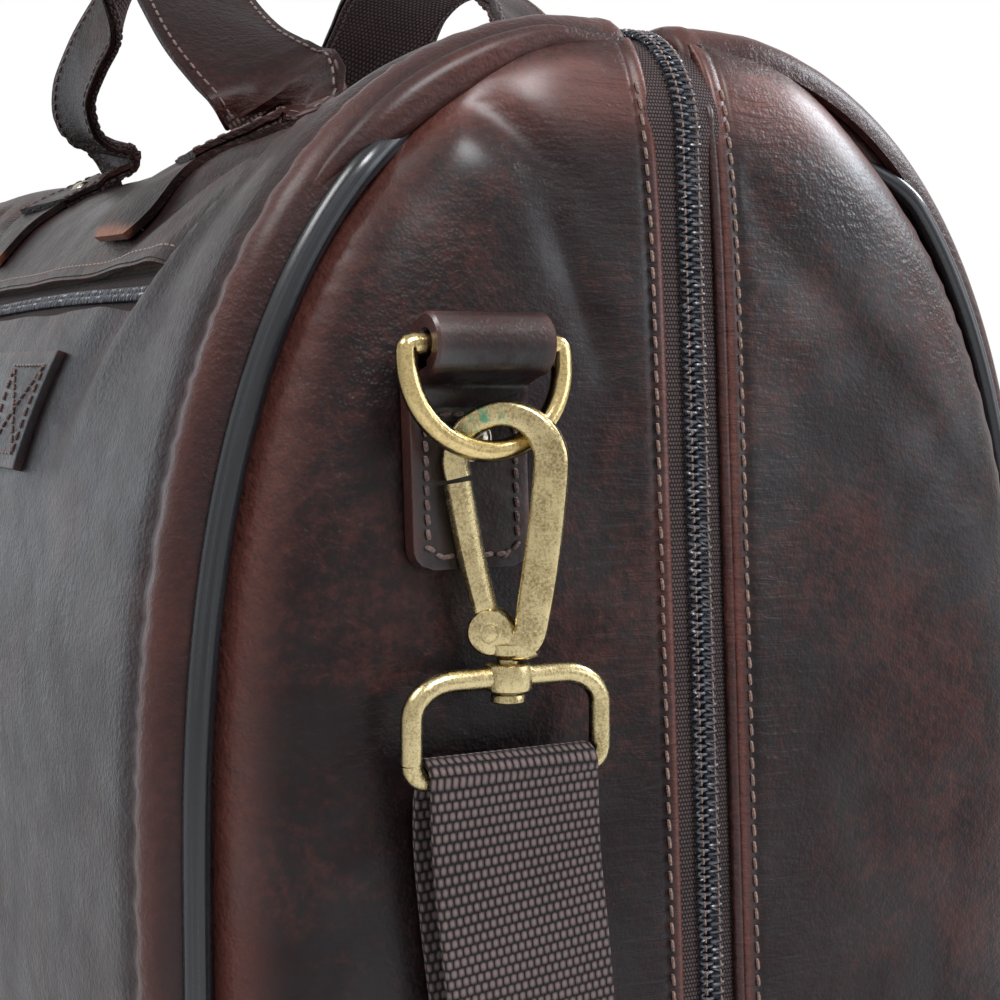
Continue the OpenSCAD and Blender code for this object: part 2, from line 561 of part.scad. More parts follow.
gate_tip = [-hook_r + 0.2, eye_z - 7.4];
module gate() hook_plane() {
    translate([gate_pivot_y, gate_pivot_z, -2]) cylinder(d = gate_boss_d, h = 4);
    translate([gate_pivot_y, gate_pivot_z, -3.2]) cylinder(d = gate_pin_d, h = 6.4);
    bar([gate_pivot_y, gate_pivot_z, 0], [gate_tip.x, gate_tip.y, 0], 3.8);
}
module gate_right() color("#b9a570") placed() gate();
module gate_left() color("#b9a570") placed() to_left() gate();

// Rectangular strap frame with the collar that the stem turns in
frame_half = (web_w + 0.8 + frame_wire) / 2;
frame_drop = 19;
frame_corner = 3.4;
collar_r = 4.8;
module frame_loop() hang_plane() for (s = [0, 1]) mirror([s, 0, 0]) {
    translate([collar_r - 1, collar_z, 0]) rotate([0, 90, 0])
        cylinder(d = frame_wire, h = frame_half - frame_corner - collar_r + 1);
    translate([frame_half - frame_corner, collar_z - frame_corner, 0])
        rotate_extrude(angle = 90) translate([frame_corner, 0]) circle(d = frame_wire);
    translate([frame_half, collar_z - frame_corner, 0]) rotate([90, 0, 0])
        cylinder(d = frame_wire, h = frame_drop - 2 * frame_corner);
    translate([frame_half - frame_corner, collar_z - frame_drop + frame_corner, 0])
        rotate([0, 0, -90]) rotate_extrude(angle = 90) translate([frame_corner, 0]) circle(d = frame_wire);
    translate([-0.01, collar_z - frame_drop, 0]) rotate([0, 90, 0])
        cylinder(d = frame_wire, h = frame_half - frame_corner + 0.01);
}
module frame() {
    frame_loop();
    translate([hang_x, -hang_y, collar_z - 2.7]) difference() {
        cylinder(r = collar_r, h = 5.4);
        translate([0, 0, -1]) cylinder(d = stem_d + 0.12, h = 8);
    }
}
module frame_right() color("#b9a570") placed() frame();
module frame_left() color("#b9a570") placed() to_left() frame();

// Webbing: a sewn loop over the frame, a drop to the floor and a run round the rear
drop_in = frame_wire / 2 + clear;
bar_z = collar_z - frame_drop;
loop_tail = 60;
module drop() translate([hang_x, -hang_y + web_w / 2, bar_z]) rotate([90, 0, 0]) linear_extrude(web_w) {
    difference() {
        circle(r = drop_in + web_t);
        circle(r = drop_in);
        translate([-10, -20]) square([20, 20]);
    }
    translate([drop_in, -bar_z + web_w + seat]) square([web_t, bar_z - web_w - seat]);
    translate([-drop_in - web_t, -loop_tail]) square([web_t, loop_tail]);
}
module strap_drop_right() color("#4b3b39") placed() drop();
module strap_drop_left() color("#4b3b39") placed() to_left() drop();

// The run stands on its edge on the floor and turns two corners behind the bag
run_x = hang_x + drop_in + web_t;
run_corner = 24;
run_y = half_d + rear_gap + web_t;
run_start = -hang_y - web_w / 2;
module run_outline(grow) {
    translate([-run_x - grow, run_start - 1]) square([2 * run_x + 2 * grow, run_y - run_start + 1 - run_corner]);
    translate([-run_x + run_corner, 0]) square([2 * run_x - 2 * run_corner, run_y + grow]);
    for (s = [-1, 1]) translate([s * (run_x - run_corner), run_y - run_corner]) circle(r = run_corner + grow);
}
module shoulder_strap() color("#4b3b39") placed() linear_extrude(web_w) difference() {
    run_outline(0);
    run_outline(-web_t);
    translate([-2 * run_x, run_start - 60]) square([4 * run_x, 60]);
}

// Three-bar slide that sets the strap's length, on the run behind the bag
slide_x = 90;
slide_l = 26;
slide_wire = 2.6;
module strap_slide() color("#b9a570") placed() translate([slide_x, run_y - web_t / 2, 0]) {
    inner = web_w + 2 * clear;
    for (x = [-slide_l / 2, slide_l / 2]) for (y = [-1, 1])
        translate([x - slide_wire / 2, y > 0 ? web_t / 2 + clear : -web_t / 2 - clear - slide_wall, 0.2])
        cube([slide_wire, 1.4, inner + 3]);
    for (y = [-1, 1]) translate([-slide_l / 2, y > 0 ? web_t / 2 + clear : -web_t / 2 - clear - slide_wall, inner + 0.2])
        cube([slide_l, 1.4, 3]);
    translate([-slide_l / 2, -web_t / 2 - clear - 0.2, inner + 0.2]) cube([slide_l, web_t + 2 * clear + 0.4, 3]);
}

front_panel();
rear_panel();
base_panel();
end_right_front();
end_right_rear();
end_left_front();
end_left_rear();
piping_right();
piping_left();
lining_front();
lining_rear();
base_board();
zip_tape();
zip_coil_front();
zip_coil_rear();
zip_end_patches();
main_slider();
main_pull();
pocket_tape();
pocket_coil();
pocket_pouch();
pocket_slider();
pocket_pull();
front_strap();
front_handle_leather();
front_handle_webbing();
front_handle_tails();
rear_handle_leather();
rear_handle_webbing();
rear_handle_tails();
handle_rivets();
ring_tab_right();
ring_tab_left();
tab_rivets();
ring_right();
frame_right();
hook_right();
gate_right();
ring_left();
frame_left();
hook_left();
gate_left();
strap_drop_right();
strap_drop_left();
shoulder_strap();
strap_slide();
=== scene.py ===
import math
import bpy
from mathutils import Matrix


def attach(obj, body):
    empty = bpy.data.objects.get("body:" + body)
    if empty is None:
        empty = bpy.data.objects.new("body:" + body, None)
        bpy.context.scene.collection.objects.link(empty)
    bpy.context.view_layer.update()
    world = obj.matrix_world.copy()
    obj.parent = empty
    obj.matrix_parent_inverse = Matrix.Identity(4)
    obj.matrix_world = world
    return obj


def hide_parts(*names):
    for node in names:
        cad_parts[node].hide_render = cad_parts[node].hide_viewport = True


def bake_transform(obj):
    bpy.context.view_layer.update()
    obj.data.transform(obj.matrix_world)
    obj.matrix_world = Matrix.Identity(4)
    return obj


bl_info = {
    "name": "Leather Travel Bag",
    "version": (1, 0, 0),
    "blender": (4, 5, 0),
    "location": "View3D > Sidebar > Travel Bag",
    "description": "Dresses the travel bag with leather, webbing, zips and brass fittings",
    "category": "Object",
}

import bpy
import numpy as np
from mathutils import Matrix

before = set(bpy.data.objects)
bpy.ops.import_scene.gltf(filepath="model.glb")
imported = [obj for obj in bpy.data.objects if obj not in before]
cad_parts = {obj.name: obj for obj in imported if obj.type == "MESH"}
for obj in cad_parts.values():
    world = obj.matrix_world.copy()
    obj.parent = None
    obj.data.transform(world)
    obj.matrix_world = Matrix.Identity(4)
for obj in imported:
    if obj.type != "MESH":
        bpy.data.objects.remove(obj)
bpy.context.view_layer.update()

# Main sizes, in millimetres

MM = 0.001  # one millimetre in the frame's metres
SHIFT = -3.3  # where the bag's middle plane stands along Y
HALF_D = 116.0
HALF_L = 220.0
HEIGHT = 286.0
MID = 100.0  # height at which the body is deepest
TOP_POWER, FOOT_POWER = 2.5, 5.0  # squareness of the outline above and below that height
SAG = 10.0  # how far the top sinks between the ends
RIM = 9.7  # inset of the end panels from the body's outline
ZIP_R = 28.0  # radius at which the zip turns over the shoulder
FRONT_SEED, REAR_SEED = 5, 9  # for the folds of the walls
POCKET_Z = (223.5, 235.5)
POCKET_X = 142.0
TAB_Y = -58.0
HANG_Y = -54.2
RING_Z = 214.0
HANDLE_X = 84  # of the middle of each strap tail
WALL_T, PANEL_T, DOUBLE_T, TAPE_T = 2.2, 2.0, 4.4, 0.8  # thickness of walls and tails, ends, patches, tapes
END_WORD = {1: "right", -1: "left"}


# Tools for lines and points

def smooth(t):
    t = np.clip(t, 0, 1)
    return t * t * (3 - 2 * t)


def hump(x, middle, width):
    """Bell curve, 1 at its middle."""
    return np.exp(-((x - middle) / width) ** 2)


def points(x, y, z):
    """Rows of (x, y, z) from arrays and single numbers."""
    return np.stack(np.broadcast_arrays(x, y, z), axis=-1)


def unit(v):
    return v / np.linalg.norm(v, axis=-1, keepdims=True)


def index(share, last):
    return np.rint(share * last).astype(int)


def nearest(values, wanted):
    return int(np.argmin(np.abs(values - wanted)))


def lengths(p):
    """Distance run along a line of points, at each of them."""
    return np.concatenate([[0], np.cumsum(np.linalg.norm(np.diff(p, axis=0), axis=1))])


def along(line, run, at):
    """A line's points at some distances; further columns are carried along."""
    return np.stack([np.interp(at, run, column) for column in line.T], axis=1)


def even(line, count):
    run = lengths(line[:, :3])
    return along(line, run, np.linspace(0, run[-1], count))


def spline(guides, count):
    """Smooth line through guide points, with count points evenly spaced along it."""
    p = np.asarray(guides, float)
    ext = np.vstack([2 * p[0] - p[1], p, 2 * p[-1] - p[-2]])
    out = []
    for i in range(1, len(ext) - 2):
        a, b, c, d = ext[i - 1:i + 3]
        for u in np.linspace(0, 1, 24, endpoint=False):
            out.append(0.5 * (2 * b + (c - a) * u + (2 * a - 5 * b + 4 * c - d) * u ** 2
                              + (3 * b - a - 3 * c + d) * u ** 3))
    out.append(p[-1])
    return even(np.array(out), count)


def frames(path, wide=None):
    """Points of a path, with the directions across it and out of it."""
    p = np.asarray(path, float)
    t = unit(np.gradient(p, axis=0))
    if wide is None:
        w = np.empty_like(p)
        w[0] = unit(np.cross(t[0], [0.31, 0.22, 0.93]))
        for i in range(1, len(p)):
            w[i] = unit(w[i - 1] - t[i] * (w[i - 1] @ t[i]))
    else:
        wide = np.broadcast_to(np.asarray(wide, float), p.shape)
        w = unit(wide - t * np.sum(wide * t, axis=1)[:, None])
    return p, w, np.cross(w, t)


def hash_wave(a, b, seed):
    """Smooth irregular value between about -1 and 1, from a few crossed waves."""
    rng = np.random.RandomState(seed)
    out = 0
    for i in range(5):
        k = rng.normal(size=2) * (0.6 + 0.5 * i)
        out = out + np.sin(a * k[0] + b * k[1] + rng.uniform(0, 6.28)) / (1 + 0.5 * i)
    return out / 2.6


# Shape of the body

def crown(z):
    """How far the end panels bulge."""
    return 14 + 12 * (260 - np.asarray(z, float)) / 190


def sag(x):
    return SAG * smooth((206 - np.abs(x)) / 56)


def outline(t, x, inset=0.0):
    """Distance from the middle plane and height on the body's outline, at an angle in degrees."""
    t = np.asarray(t, float)
    a = np.radians(t)
    c, s = np.abs(np.cos(a)), np.abs(np.sin(a))
    top = t >= 0
    power = 2 / np.where(top, TOP_POWER, FOOT_POWER)
    reach = np.where(top, HEIGHT - sag(x) - MID, MID) - inset
    return (HALF_D - inset) * c ** power, MID + np.where(top, 1, -1) * reach * s ** power


def wall_y(z, x=0.0, inset=0.0):
    z = np.asarray(z, float)
    top = z >= MID
    reach = np.where(top, HEIGHT - sag(x) - MID, MID) - inset
    power = np.where(top, TOP_POWER, FOOT_POWER)
    return (HALF_D - inset) * np.clip(1 - (np.abs(z - MID) / reach) ** power, 0, 1) ** (1 / power)


def roof_z(y, x=0.0, inset=0.0):
    y = np.abs(np.asarray(y, float))
    share = np.clip(1 - (y / (HALF_D - inset)) ** TOP_POWER, 0, 1) ** (1 / TOP_POWER)
    return MID + (HEIGHT - sag(x) - MID - inset) * share


ANGLES = np.concatenate([np.linspace(90, 20, 500), np.linspace(20, -20, 300)[1:], np.linspace(-20, -90, 500)[1:]])
OUTLINE = np.stack(outline(ANGLES, 0.0), axis=1)
OUTLINE_RUN = lengths(OUTLINE)


def angle_at(distance):
    """Angle on the outline at a distance in millimetres from the zip's middle line."""
    return np.interp(distance, OUTLINE_RUN, ANGLES)


def distance_at_z(z):
    return np.interp(-z, -OUTLINE[:, 1], OUTLINE_RUN)


def on_front(x, d, lift, share=1.0):
    """Point lifted off the front wall, over a share of its folds, at a distance d from the zip."""
    y, z = outline(angle_at(d), x, -lift - share * wall_folds(x, d, FRONT_SEED, True))
    return points(x, -y, z)


# Making of meshes

def select(obj):
    bpy.ops.object.select_all(action="DESELECT")
    obj.select_set(True)
    bpy.context.view_layer.objects.active = obj


def in_edit_mode(obj, work):
    """Does work() on a piece's whole mesh in Edit Mode."""
    select(obj)
    bpy.ops.object.mode_set(mode="EDIT")
    bpy.ops.mesh.select_mode(type="VERT")
    bpy.ops.mesh.select_all(action="SELECT")
    work()
    bpy.ops.object.mode_set(mode="OBJECT")
    return obj


def face_out(obj):
    return in_edit_mode(obj, lambda: bpy.ops.mesh.normals_make_consistent(inside=False))


def turn_over(obj):
    return in_edit_mode(obj, bpy.ops.mesh.flip_normals)


def coordinates(obj):
    co = np.empty(len(obj.data.vertices) * 3)
    obj.data.vertices.foreach_get("co", co)
    return co.reshape(-1, 3)


def lay(name, cols, rows, place, weld=False, caps=False, uv=None):
    """Adds a grid and lays its points by place(u, v), which answers in millimetres."""
    bpy.ops.object.select_all(action="DESELECT")
    bpy.ops.mesh.primitive_grid_add(x_subdivisions=cols, y_subdivisions=rows, size=1)
    obj = bpy.context.object
    obj.name = obj.data.name = name
    co = coordinates(obj)
    new = np.array(place(co[:, 0] + 0.5, co[:, 1] + 0.5), float)
    new[:, 1] += SHIFT
    obj.data.vertices.foreach_set("co", (new * MM).ravel())
    if uv is not None:
        layer = obj.data.uv_layers[0]
        flat = np.empty(len(obj.data.loops) * 2)
        layer.data.foreach_get("uv", flat)
        flat = flat.reshape(-1, 2)
        layer.data.foreach_set("uv", (np.stack(uv(flat[:, 0], flat[:, 1]), axis=1) * MM).ravel())
    obj.data.update()

    def close():
        bpy.ops.mesh.remove_doubles(threshold=1e-6)
        if caps:
            bpy.ops.mesh.select_all(action="DESELECT")
            bpy.ops.mesh.select_non_manifold()
            bpy.ops.mesh.fill_holes(sides=0)
        bpy.ops.mesh.select_all(action="SELECT")
        bpy.ops.mesh.normals_make_consistent(inside=False)

    return in_edit_mode(obj, close) if weld else obj


def apply(obj, kind, **settings):
    """Adds a modifier with these settings and applies it."""
    select(obj)
    bpy.ops.object.modifier_add(type=kind)
    modifier = obj.modifiers[-1]
    for key, value in settings.items():
        setattr(modifier, key, value)
    bpy.ops.object.modifier_apply(modifier=modifier.name)
    return obj


def thicken(obj, thickness):
    """Gives a sheet its thickness, inwards from the face that was laid."""
    return apply(obj, "SOLIDIFY", thickness=thickness * MM, offset=-1.0, use_even_offset=True,
                 use_quality_normals=True)


def break_edges(obj, width, segments):
    return apply(face_out(obj), "BEVEL", width=width * MM, segments=segments, limit_method="ANGLE",
                 angle_limit=math.radians(50))


def join(name, objs):
    select(objs[0])
    for o in objs:
        o.select_set(True)
    if len(objs) > 1:
        bpy.ops.object.join()
    objs[0].name = objs[0].data.name = name
    return objs[0]


def mirror_copy(obj, name, axis):
    """Copy of a piece, mirrored across the bag's middle plane on that axis, with its normals turned back."""
    select(obj)
    bpy.ops.object.duplicate()
    new = bpy.context.object
    new.name = new.data.name = name
    co = coordinates(new)
    co[:, axis] = 2 * (0, SHIFT)[axis] * MM - co[:, axis]
    new.data.vertices.foreach_set("co", co.ravel())
    return turn_over(new)


def sweep(name, path, section, wide=None, scale=None, closed=False):
    """Section, a closed ring of (across, out) points in millimetres, swept along a path."""
    p, w, o = frames(path, wide)
    ring = np.asarray(section, float)
    n, m = len(p), len(ring)
    size = np.ones((n, 2)) if scale is None else np.asarray(scale, float)
    run = lengths(p)
    around = lengths(np.vstack([ring, ring[:1]]))

    def place(u, v):
        i = index(u, n - 1)
        a, b = (ring[index(v, m) % m] * size[i]).T
        return p[i] + w[i] * a[:, None] + o[i] * b[:, None]

    def measured(u, v):
        return np.interp(u * (n - 1), np.arange(n), run), np.interp(v * m, np.arange(m + 1), around)

    return lay(name, n - 1, m, place, weld=True, caps=not closed, uv=measured)


def turned(name, profile, place, sides=28, closed=False):
    """A piece of revolution: place(radius, angle, height) gives its points."""
    profile = np.array(profile)

    def at(u, v):
        r, h = profile[index(v, len(profile) - 1)].T
        return place(r, u * 2 * math.pi, h)

    return lay(name, sides, len(profile) - 1, at, weld=True, caps=not closed)


def round_section(radius, sides=16):
    a = np.linspace(0, 2 * math.pi, sides, endpoint=False)
    return np.stack([radius * np.cos(a), radius * np.sin(a)], axis=1)


def strap_section(width, thick, cols=10, edge=0.35):
    """Flat strap with softly broken edges; out is the leather's face."""
    h, t = width / 2, thick / 2
    top = [(x, t) for x in np.linspace(-h + edge, h - edge, cols)]
    low = [(-x, -t) for x in np.linspace(-h + edge, h - edge, cols)]
    return np.array(top + [(h, t - edge), (h, -t + edge)] + low + [(-h, -t + edge), (-h, t - edge)])


def faceted(half_w, half_t, cut):
    """Section of cast wire: a rounded square with broad cut corners."""
    ring = []
    for sx, sy in ((1, 1), (-1, 1), (-1, -1), (1, -1)):
        a, b = np.array([sx * half_w, sy * (half_t - cut)]), np.array([sx * (half_w - cut), sy * half_t])
        if sx != sy:
            a, b = b, a
        ring += [a, (a + b) / 2 * 1.05, b]
    return np.array(ring)


STITCH_SIDES = 6
STITCH_STATIONS = ((-0.5, 0.15), (-0.42, 0.75), (-0.2, 1.0), (0.2, 1.0), (0.42, 0.75), (0.5, 0.15))


def stitches(name, runs, pitch, length, thick, slant=0.0, sink=0.1):
    """Sewn thread along runs of (points, outward normals): each stitch is a short bead with tucked ends."""
    verts, faces = [], []
    n, last = STITCH_SIDES, len(STITCH_STATIONS) - 1
    for line, normals in runs:
        both = np.hstack([line, np.broadcast_to(np.asarray(normals, float), (len(line), 3))])
        run = lengths(both[:, :3])
        both = along(both, run, np.arange(pitch / 2, run[-1], pitch))
        p, out = both[:, :3], unit(both[:, 3:])
        t = unit(np.gradient(p, axis=0))
        t = t * math.cos(slant) + np.cross(out, t) * math.sin(slant)
        s = np.cross(out, t)
        for i in range(len(p)):
            base = len(verts)
            for a, r in STITCH_STATIONS:
                tucked = 0.9 * thick if r < 0.2 else 0
                mid = p[i] + t[i] * a * length + out[i] * (thick * 0.28 * r - sink - tucked)
                for g in np.arange(n) * 2 * math.pi / n:
                    verts.append(mid + (s[i] * math.cos(g) + out[i] * math.sin(g)) * thick / 2 * r)
            for j in range(base, base + last * n, n):
                for k in range(n):
                    k2 = (k + 1) % n
                    faces.append((j + k, j + k2, j + n + k2, j + n + k))
            faces.append(tuple(base + k for k in reversed(range(n))))
            faces.append(tuple(base + last * n + k for k in range(n)))
    v = np.array(verts)
    v[:, 1] += SHIFT
    mesh = bpy.data.meshes.new(name)
    mesh.from_pydata((v * MM).tolist(), [], faces)
    mesh.update()
    obj = bpy.data.objects.new(name, mesh)
    bpy.context.scene.collection.objects.link(obj)
    return face_out(obj)


def rub(obj, value, layer_name="rubbed"):
    """Writes how rubbed each point is, or how much painted shade it gets, from value(x, y, z) in the bag's own
    millimetres.
    """
    x, y, z = coordinates(obj).T / MM
    layer = obj.data.attributes.new(layer_name, "FLOAT", "POINT")
    layer.data.foreach_set("value", np.clip(value(x, y - SHIFT, z), 0, 1).astype(np.float32))
    return obj


def finish(obj, material, slot, body="bag", replaces=(), angle=40):
    """Smooths, paints and seats a finished piece."""
    select(obj)
    bpy.ops.object.shade_smooth_by_angle(angle=math.radians(angle))
    obj.data.materials.clear()
    obj.data.materials.append(material)
    if replaces:
        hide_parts(*replaces)
    if body:
        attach(obj, body)
    return obj


def paint(nodes, material):
    """Gives carried-over CAD nodes a better material."""
    for n in nodes:
        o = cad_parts[n]
        if not o.data.materials:
            o.data.materials.append(material)
        for slot in o.material_slots:
            slot.material = material


# Materials

class Val:
    """A socket or a number that takes part in sums."""

    def __init__(self, recipe, out):
        self.r, self.out = recipe, out

    def _op(self, kind, a, b=0.0, clamp=False):
        return self.r.math(kind, a, b, clamp)

    def __add__(self, o): return self._op("ADD", self, o)
    def __radd__(self, o): return self._op("ADD", o, self)
    def __sub__(self, o): return self._op("SUBTRACT", self, o)
    def __rsub__(self, o): return self._op("SUBTRACT", o, self)
    def __mul__(self, o): return self._op("MULTIPLY", self, o)
    def __rmul__(self, o): return self._op("MULTIPLY", o, self)
    def __truediv__(self, o): return self._op("DIVIDE", self, o)
    def __pow__(self, o): return self._op("POWER", self, o)
    def clamp(self): return self._op("ADD", self, 0.0, True)
    def absolute(self): return self._op("ABSOLUTE", self)
    def sine(self): return self._op("SINE", self)
    def floor(self): return self._op("FLOOR", self)
    def fract(self): return self._op("FRACT", self)


class Recipe:
    """Builds a material, or the node tree that is given, node by node."""

    def __init__(self, name, tree=None):
        if tree is None:
            self.mat = bpy.data.materials.new(name)
            self.mat.use_nodes = True
            tree = self.mat.node_tree
        self.tree = tree
        self.tree.nodes.clear()
        self.count = 0

    def node(self, kind, settings=None, inputs=None):
        """Adds a node; an input that is None keeps its default, and a colour of three gets its alpha."""
        n = self.tree.nodes.new(kind)
        n.location = (200 * (self.count % 8), -260 * (self.count // 8))
        self.count += 1
        for key, value in (settings or {}).items():
            setattr(n, key, value)
        for key, value in (inputs or {}).items():
            socket = n.inputs[key]
            value = value.out if isinstance(value, Val) else value
            if isinstance(value, bpy.types.NodeSocket):
                self.tree.links.new(value, socket)
            elif value is not None:
                socket.default_value = (*value, 1) if socket.type == "RGBA" and len(value) == 3 else value
        return n

    def math(self, kind, a, b=0.0, clamp=False):
        return Val(self, self.node("ShaderNodeMath", {"operation": kind, "use_clamp": clamp}, {0: a, 1: b}).outputs[0])

    def place(self, scale=(1, 1, 1), turn=(0, 0, 0), shift=(0, 0, 0), uv=False):
        out = self.node("ShaderNodeTexCoord").outputs["UV" if uv else "Object"]
        inputs = {"Vector": out, "Scale": scale, "Rotation": turn, "Location": shift}
        return self.node("ShaderNodeMapping", {}, inputs).outputs[0]

    def axes(self, vector):
        n = self.node("ShaderNodeSeparateXYZ", {}, {0: vector})
        return [Val(self, out) for out in n.outputs]

    def noise(self, vector, scale, detail=4.0, rough=0.5, warp=0.0):
        inputs = {"Vector": vector, "Scale": scale, "Detail": detail, "Roughness": rough, "Distortion": warp}
        return Val(self, self.node("ShaderNodeTexNoise", {}, inputs).outputs[0])

    def cells(self, vector, scale, feature="F1"):
        n = self.node("ShaderNodeTexVoronoi", {"feature": feature}, {"Vector": vector, "Scale": scale})
        return Val(self, n.outputs["Distance"])

    def ramp(self, value, low, high, to_low=0.0, to_high=1.0):
        inputs = {"Value": value, "From Min": low, "From Max": high, "To Min": to_low, "To Max": to_high}
        return Val(self, self.node("ShaderNodeMapRange", {"interpolation_type": "SMOOTHSTEP"}, inputs).outputs[0])

    def mix(self, factor, a, b):
        return self.node("ShaderNodeMix", {"data_type": "RGBA"}, {0: factor, 6: a, 7: b}).outputs[2]

    def attribute(self, name):
        return Val(self, self.node("ShaderNodeAttribute", {"attribute_name": name}).outputs["Fac"])

    def bump(self, height, distance, strength=1.0, normal=None):
        inputs = {"Height": height, "Distance": distance, "Strength": strength, "Normal": normal}
        return self.node("ShaderNodeBump", {}, inputs).outputs[0]

    def seen(self):
        """1 for rays from the camera and for those that mirror or let through the surroundings."""
        path = self.node("ShaderNodeLightPath").outputs
        straight = self.math("MAXIMUM", path["Is Camera Ray"], path["Is Glossy Ray"])
        return self.math("MAXIMUM", straight, path["Is Transmission Ray"])

    def blend(self, factor, a, b, kind):
        """Mixes two shaders or backgrounds and ends the tree with an output of that kind."""
        both = self.node("ShaderNodeMixShader", {}, {0: factor, 1: a, 2: b}).outputs[0]
        self.node(kind, {}, {0: both})

    def surface(self, far=None, **inputs):
        """Principled surface; far is how much of it gives way to plain white."""
        inputs = {key.replace("_", " "): value for key, value in inputs.items()}
        shader = self.node("ShaderNodeBsdfPrincipled", {}, inputs).outputs[0]
        if far is None:
            self.node("ShaderNodeOutputMaterial", {}, {0: shader})
        else:
            white = self.node("ShaderNodeEmission", {}, {"Color": (1, 1, 1), "Strength": 1.0}).outputs[0]
            self.blend(far, shader, white, "ShaderNodeOutputMaterial")
        return self.mat


def shade(colour, by):
    return tuple(by * c for c in colour)


def leather(name, dark, brown, red, streak=0.0, gloss=0.34, wear=0.6, polish=0.25, sheen=0.0, worn=None,
            pucker=None):
    """Waxed full-grain leather: speckled browns, fine grain, crossing creases, rubbed edges and a thin polish."""
    r = Recipe(name)
    p = r.place()
    large = r.noise(p, 9, 3, 0.6, 0.3)
    cloud = r.noise(p, 34, 5, 0.62, 0.4)
    speck = r.noise(p, 380, 5, 0.72)
    tone = large * 0.55 + cloud * 0.4 + speck * 0.55 - 0.75
    colour = r.mix(r.ramp(tone, -0.13, 0.15), dark, brown)
    reddish = r.noise(r.place(shift=(0.31, 0.12, 0.4)), 19, 5, 0.66, 0.5)
    colour = r.mix(r.ramp(reddish * 0.8 + speck * 0.5, 0.60, 0.86, 0.0, 0.7), colour, red)
    rubbed = r.attribute("rubbed")
    colour = r.mix((rubbed * (0.1 + cloud * 0.7 + speck * 0.9)).clamp() * wear, colour, worn or shade(red, 2.4))
    grain = r.cells(p, 1150)
    fine = r.noise(p, 2400, 2, 0.6)
    crease_a = r.noise(r.place(scale=(1, 0.35, 1), turn=(0.4, 0.2, 0.6)), 230, 5, 0.62, 1.4)
    lines = 1 - ((crease_a - 0.5).absolute() * 26).clamp()
    crease_b = r.noise(r.place(scale=(0.4, 1, 1), turn=(0.1, 0.5, 0.2)), 95, 4, 0.6, 1.0)
    longer = 1 - ((crease_b - 0.5).absolute() * 20).clamp()
    mask = r.ramp(r.noise(p, 22, 2, 0.5), 0.5, 0.66)
    pebble = r.cells(r.place(scale=(1, 0.7, 1), turn=(0.3, 0, 0.4)), 620, "SMOOTH_F1")
    height = grain * 0.6 + fine * 0.35 + pebble * 1.1 - lines * mask * 0.34 - longer * (1 - mask) * 0.16
    x, y, z = r.axes(p)
    if pucker == "zip":
        drawn = r.noise(r.place(scale=(0.2, 0.16, 1)), 400, 4, 0.6, 0.8)
        height = height + drawn * r.ramp((y - SHIFT * MM).absolute(), 0.012, 0.045, 5.0, 0.0)
    if pucker == "roll":
        drawn = r.noise(r.place(scale=(0.12, 1, 1)), 210, 3, 0.55, 0.5)
        out = x.absolute()
        height = height + drawn * r.ramp(out, 0.2, 0.21) * r.ramp(out, 0.2145, 0.2185, 3.0, 0.0)
    if pucker == "foot":
        drawn = r.noise(r.place(scale=(0.3, 0.3, 1)), 240, 4, 0.6, 1.0)
        height = height + drawn * r.ramp(z, 0.284, 0.302, 5.0, 0.0)
    rough = r.ramp(r.noise(p, 60, 5, 0.7), 0.25, 0.75, gloss - 0.07, gloss + 0.09) + fine * 0.05 + rubbed * 0.03
    coat = r.ramp(cloud + speck * 0.35, 0.45, 0.95, polish * 1.6, polish * 0.4) + rubbed * 0.14
    if streak:
        down = r.noise(r.place(scale=(1, 0.09, 0.09)), 120, 5, 0.62, 0.3)
        fog = r.noise(r.place(scale=(1, 0.3, 0.3)), 30, 4, 0.6, 0.3)
        low = r.ramp(z, 0.05, 0.22, 1.0, 0.25)
        coat = coat + low * (down * 0.7 + fog * 0.9 - 0.25).clamp() * sheen
        rough = rough + down * 0.10 - 0.04
        # Lighter vertical streaks in the colour are painted sheen; the streaks in coat and roughness above are the real
        # uneven polish
        colour = r.mix(r.ramp(down, 0.42, 0.66, 0, streak), colour, tuple(1.35 * c + 0.003 for c in brown))
    bend = r.bump(cloud * 0.6 + large, 0.0012, 0.35)
    return r.surface(Base_Color=colour, Roughness=rough, Specular_IOR_Level=0.05, Coat_Weight=coat.clamp(),
                     Coat_Roughness=0.31, Normal=r.bump(height, 0.00036, 0.8, bend))


def piping_finish():
    r = Recipe("piping")
    lines = r.noise(r.place(scale=(8, 900, 1), uv=True), 1.0, 4, 0.6)
    spots = r.noise(r.place(), 500, 3, 0.6)
    colour = r.mix(r.ramp(lines, 0.35, 0.7), (0.003, 0.003, 0.004), (0.016, 0.017, 0.021))
    return r.surface(Base_Color=colour, Roughness=lines * 0.2 + 0.13 + spots * 0.06, Specular_IOR_Level=0.4,
                     Normal=r.bump(lines * 0.8 + spots * 0.2, 0.0002, 0.5))


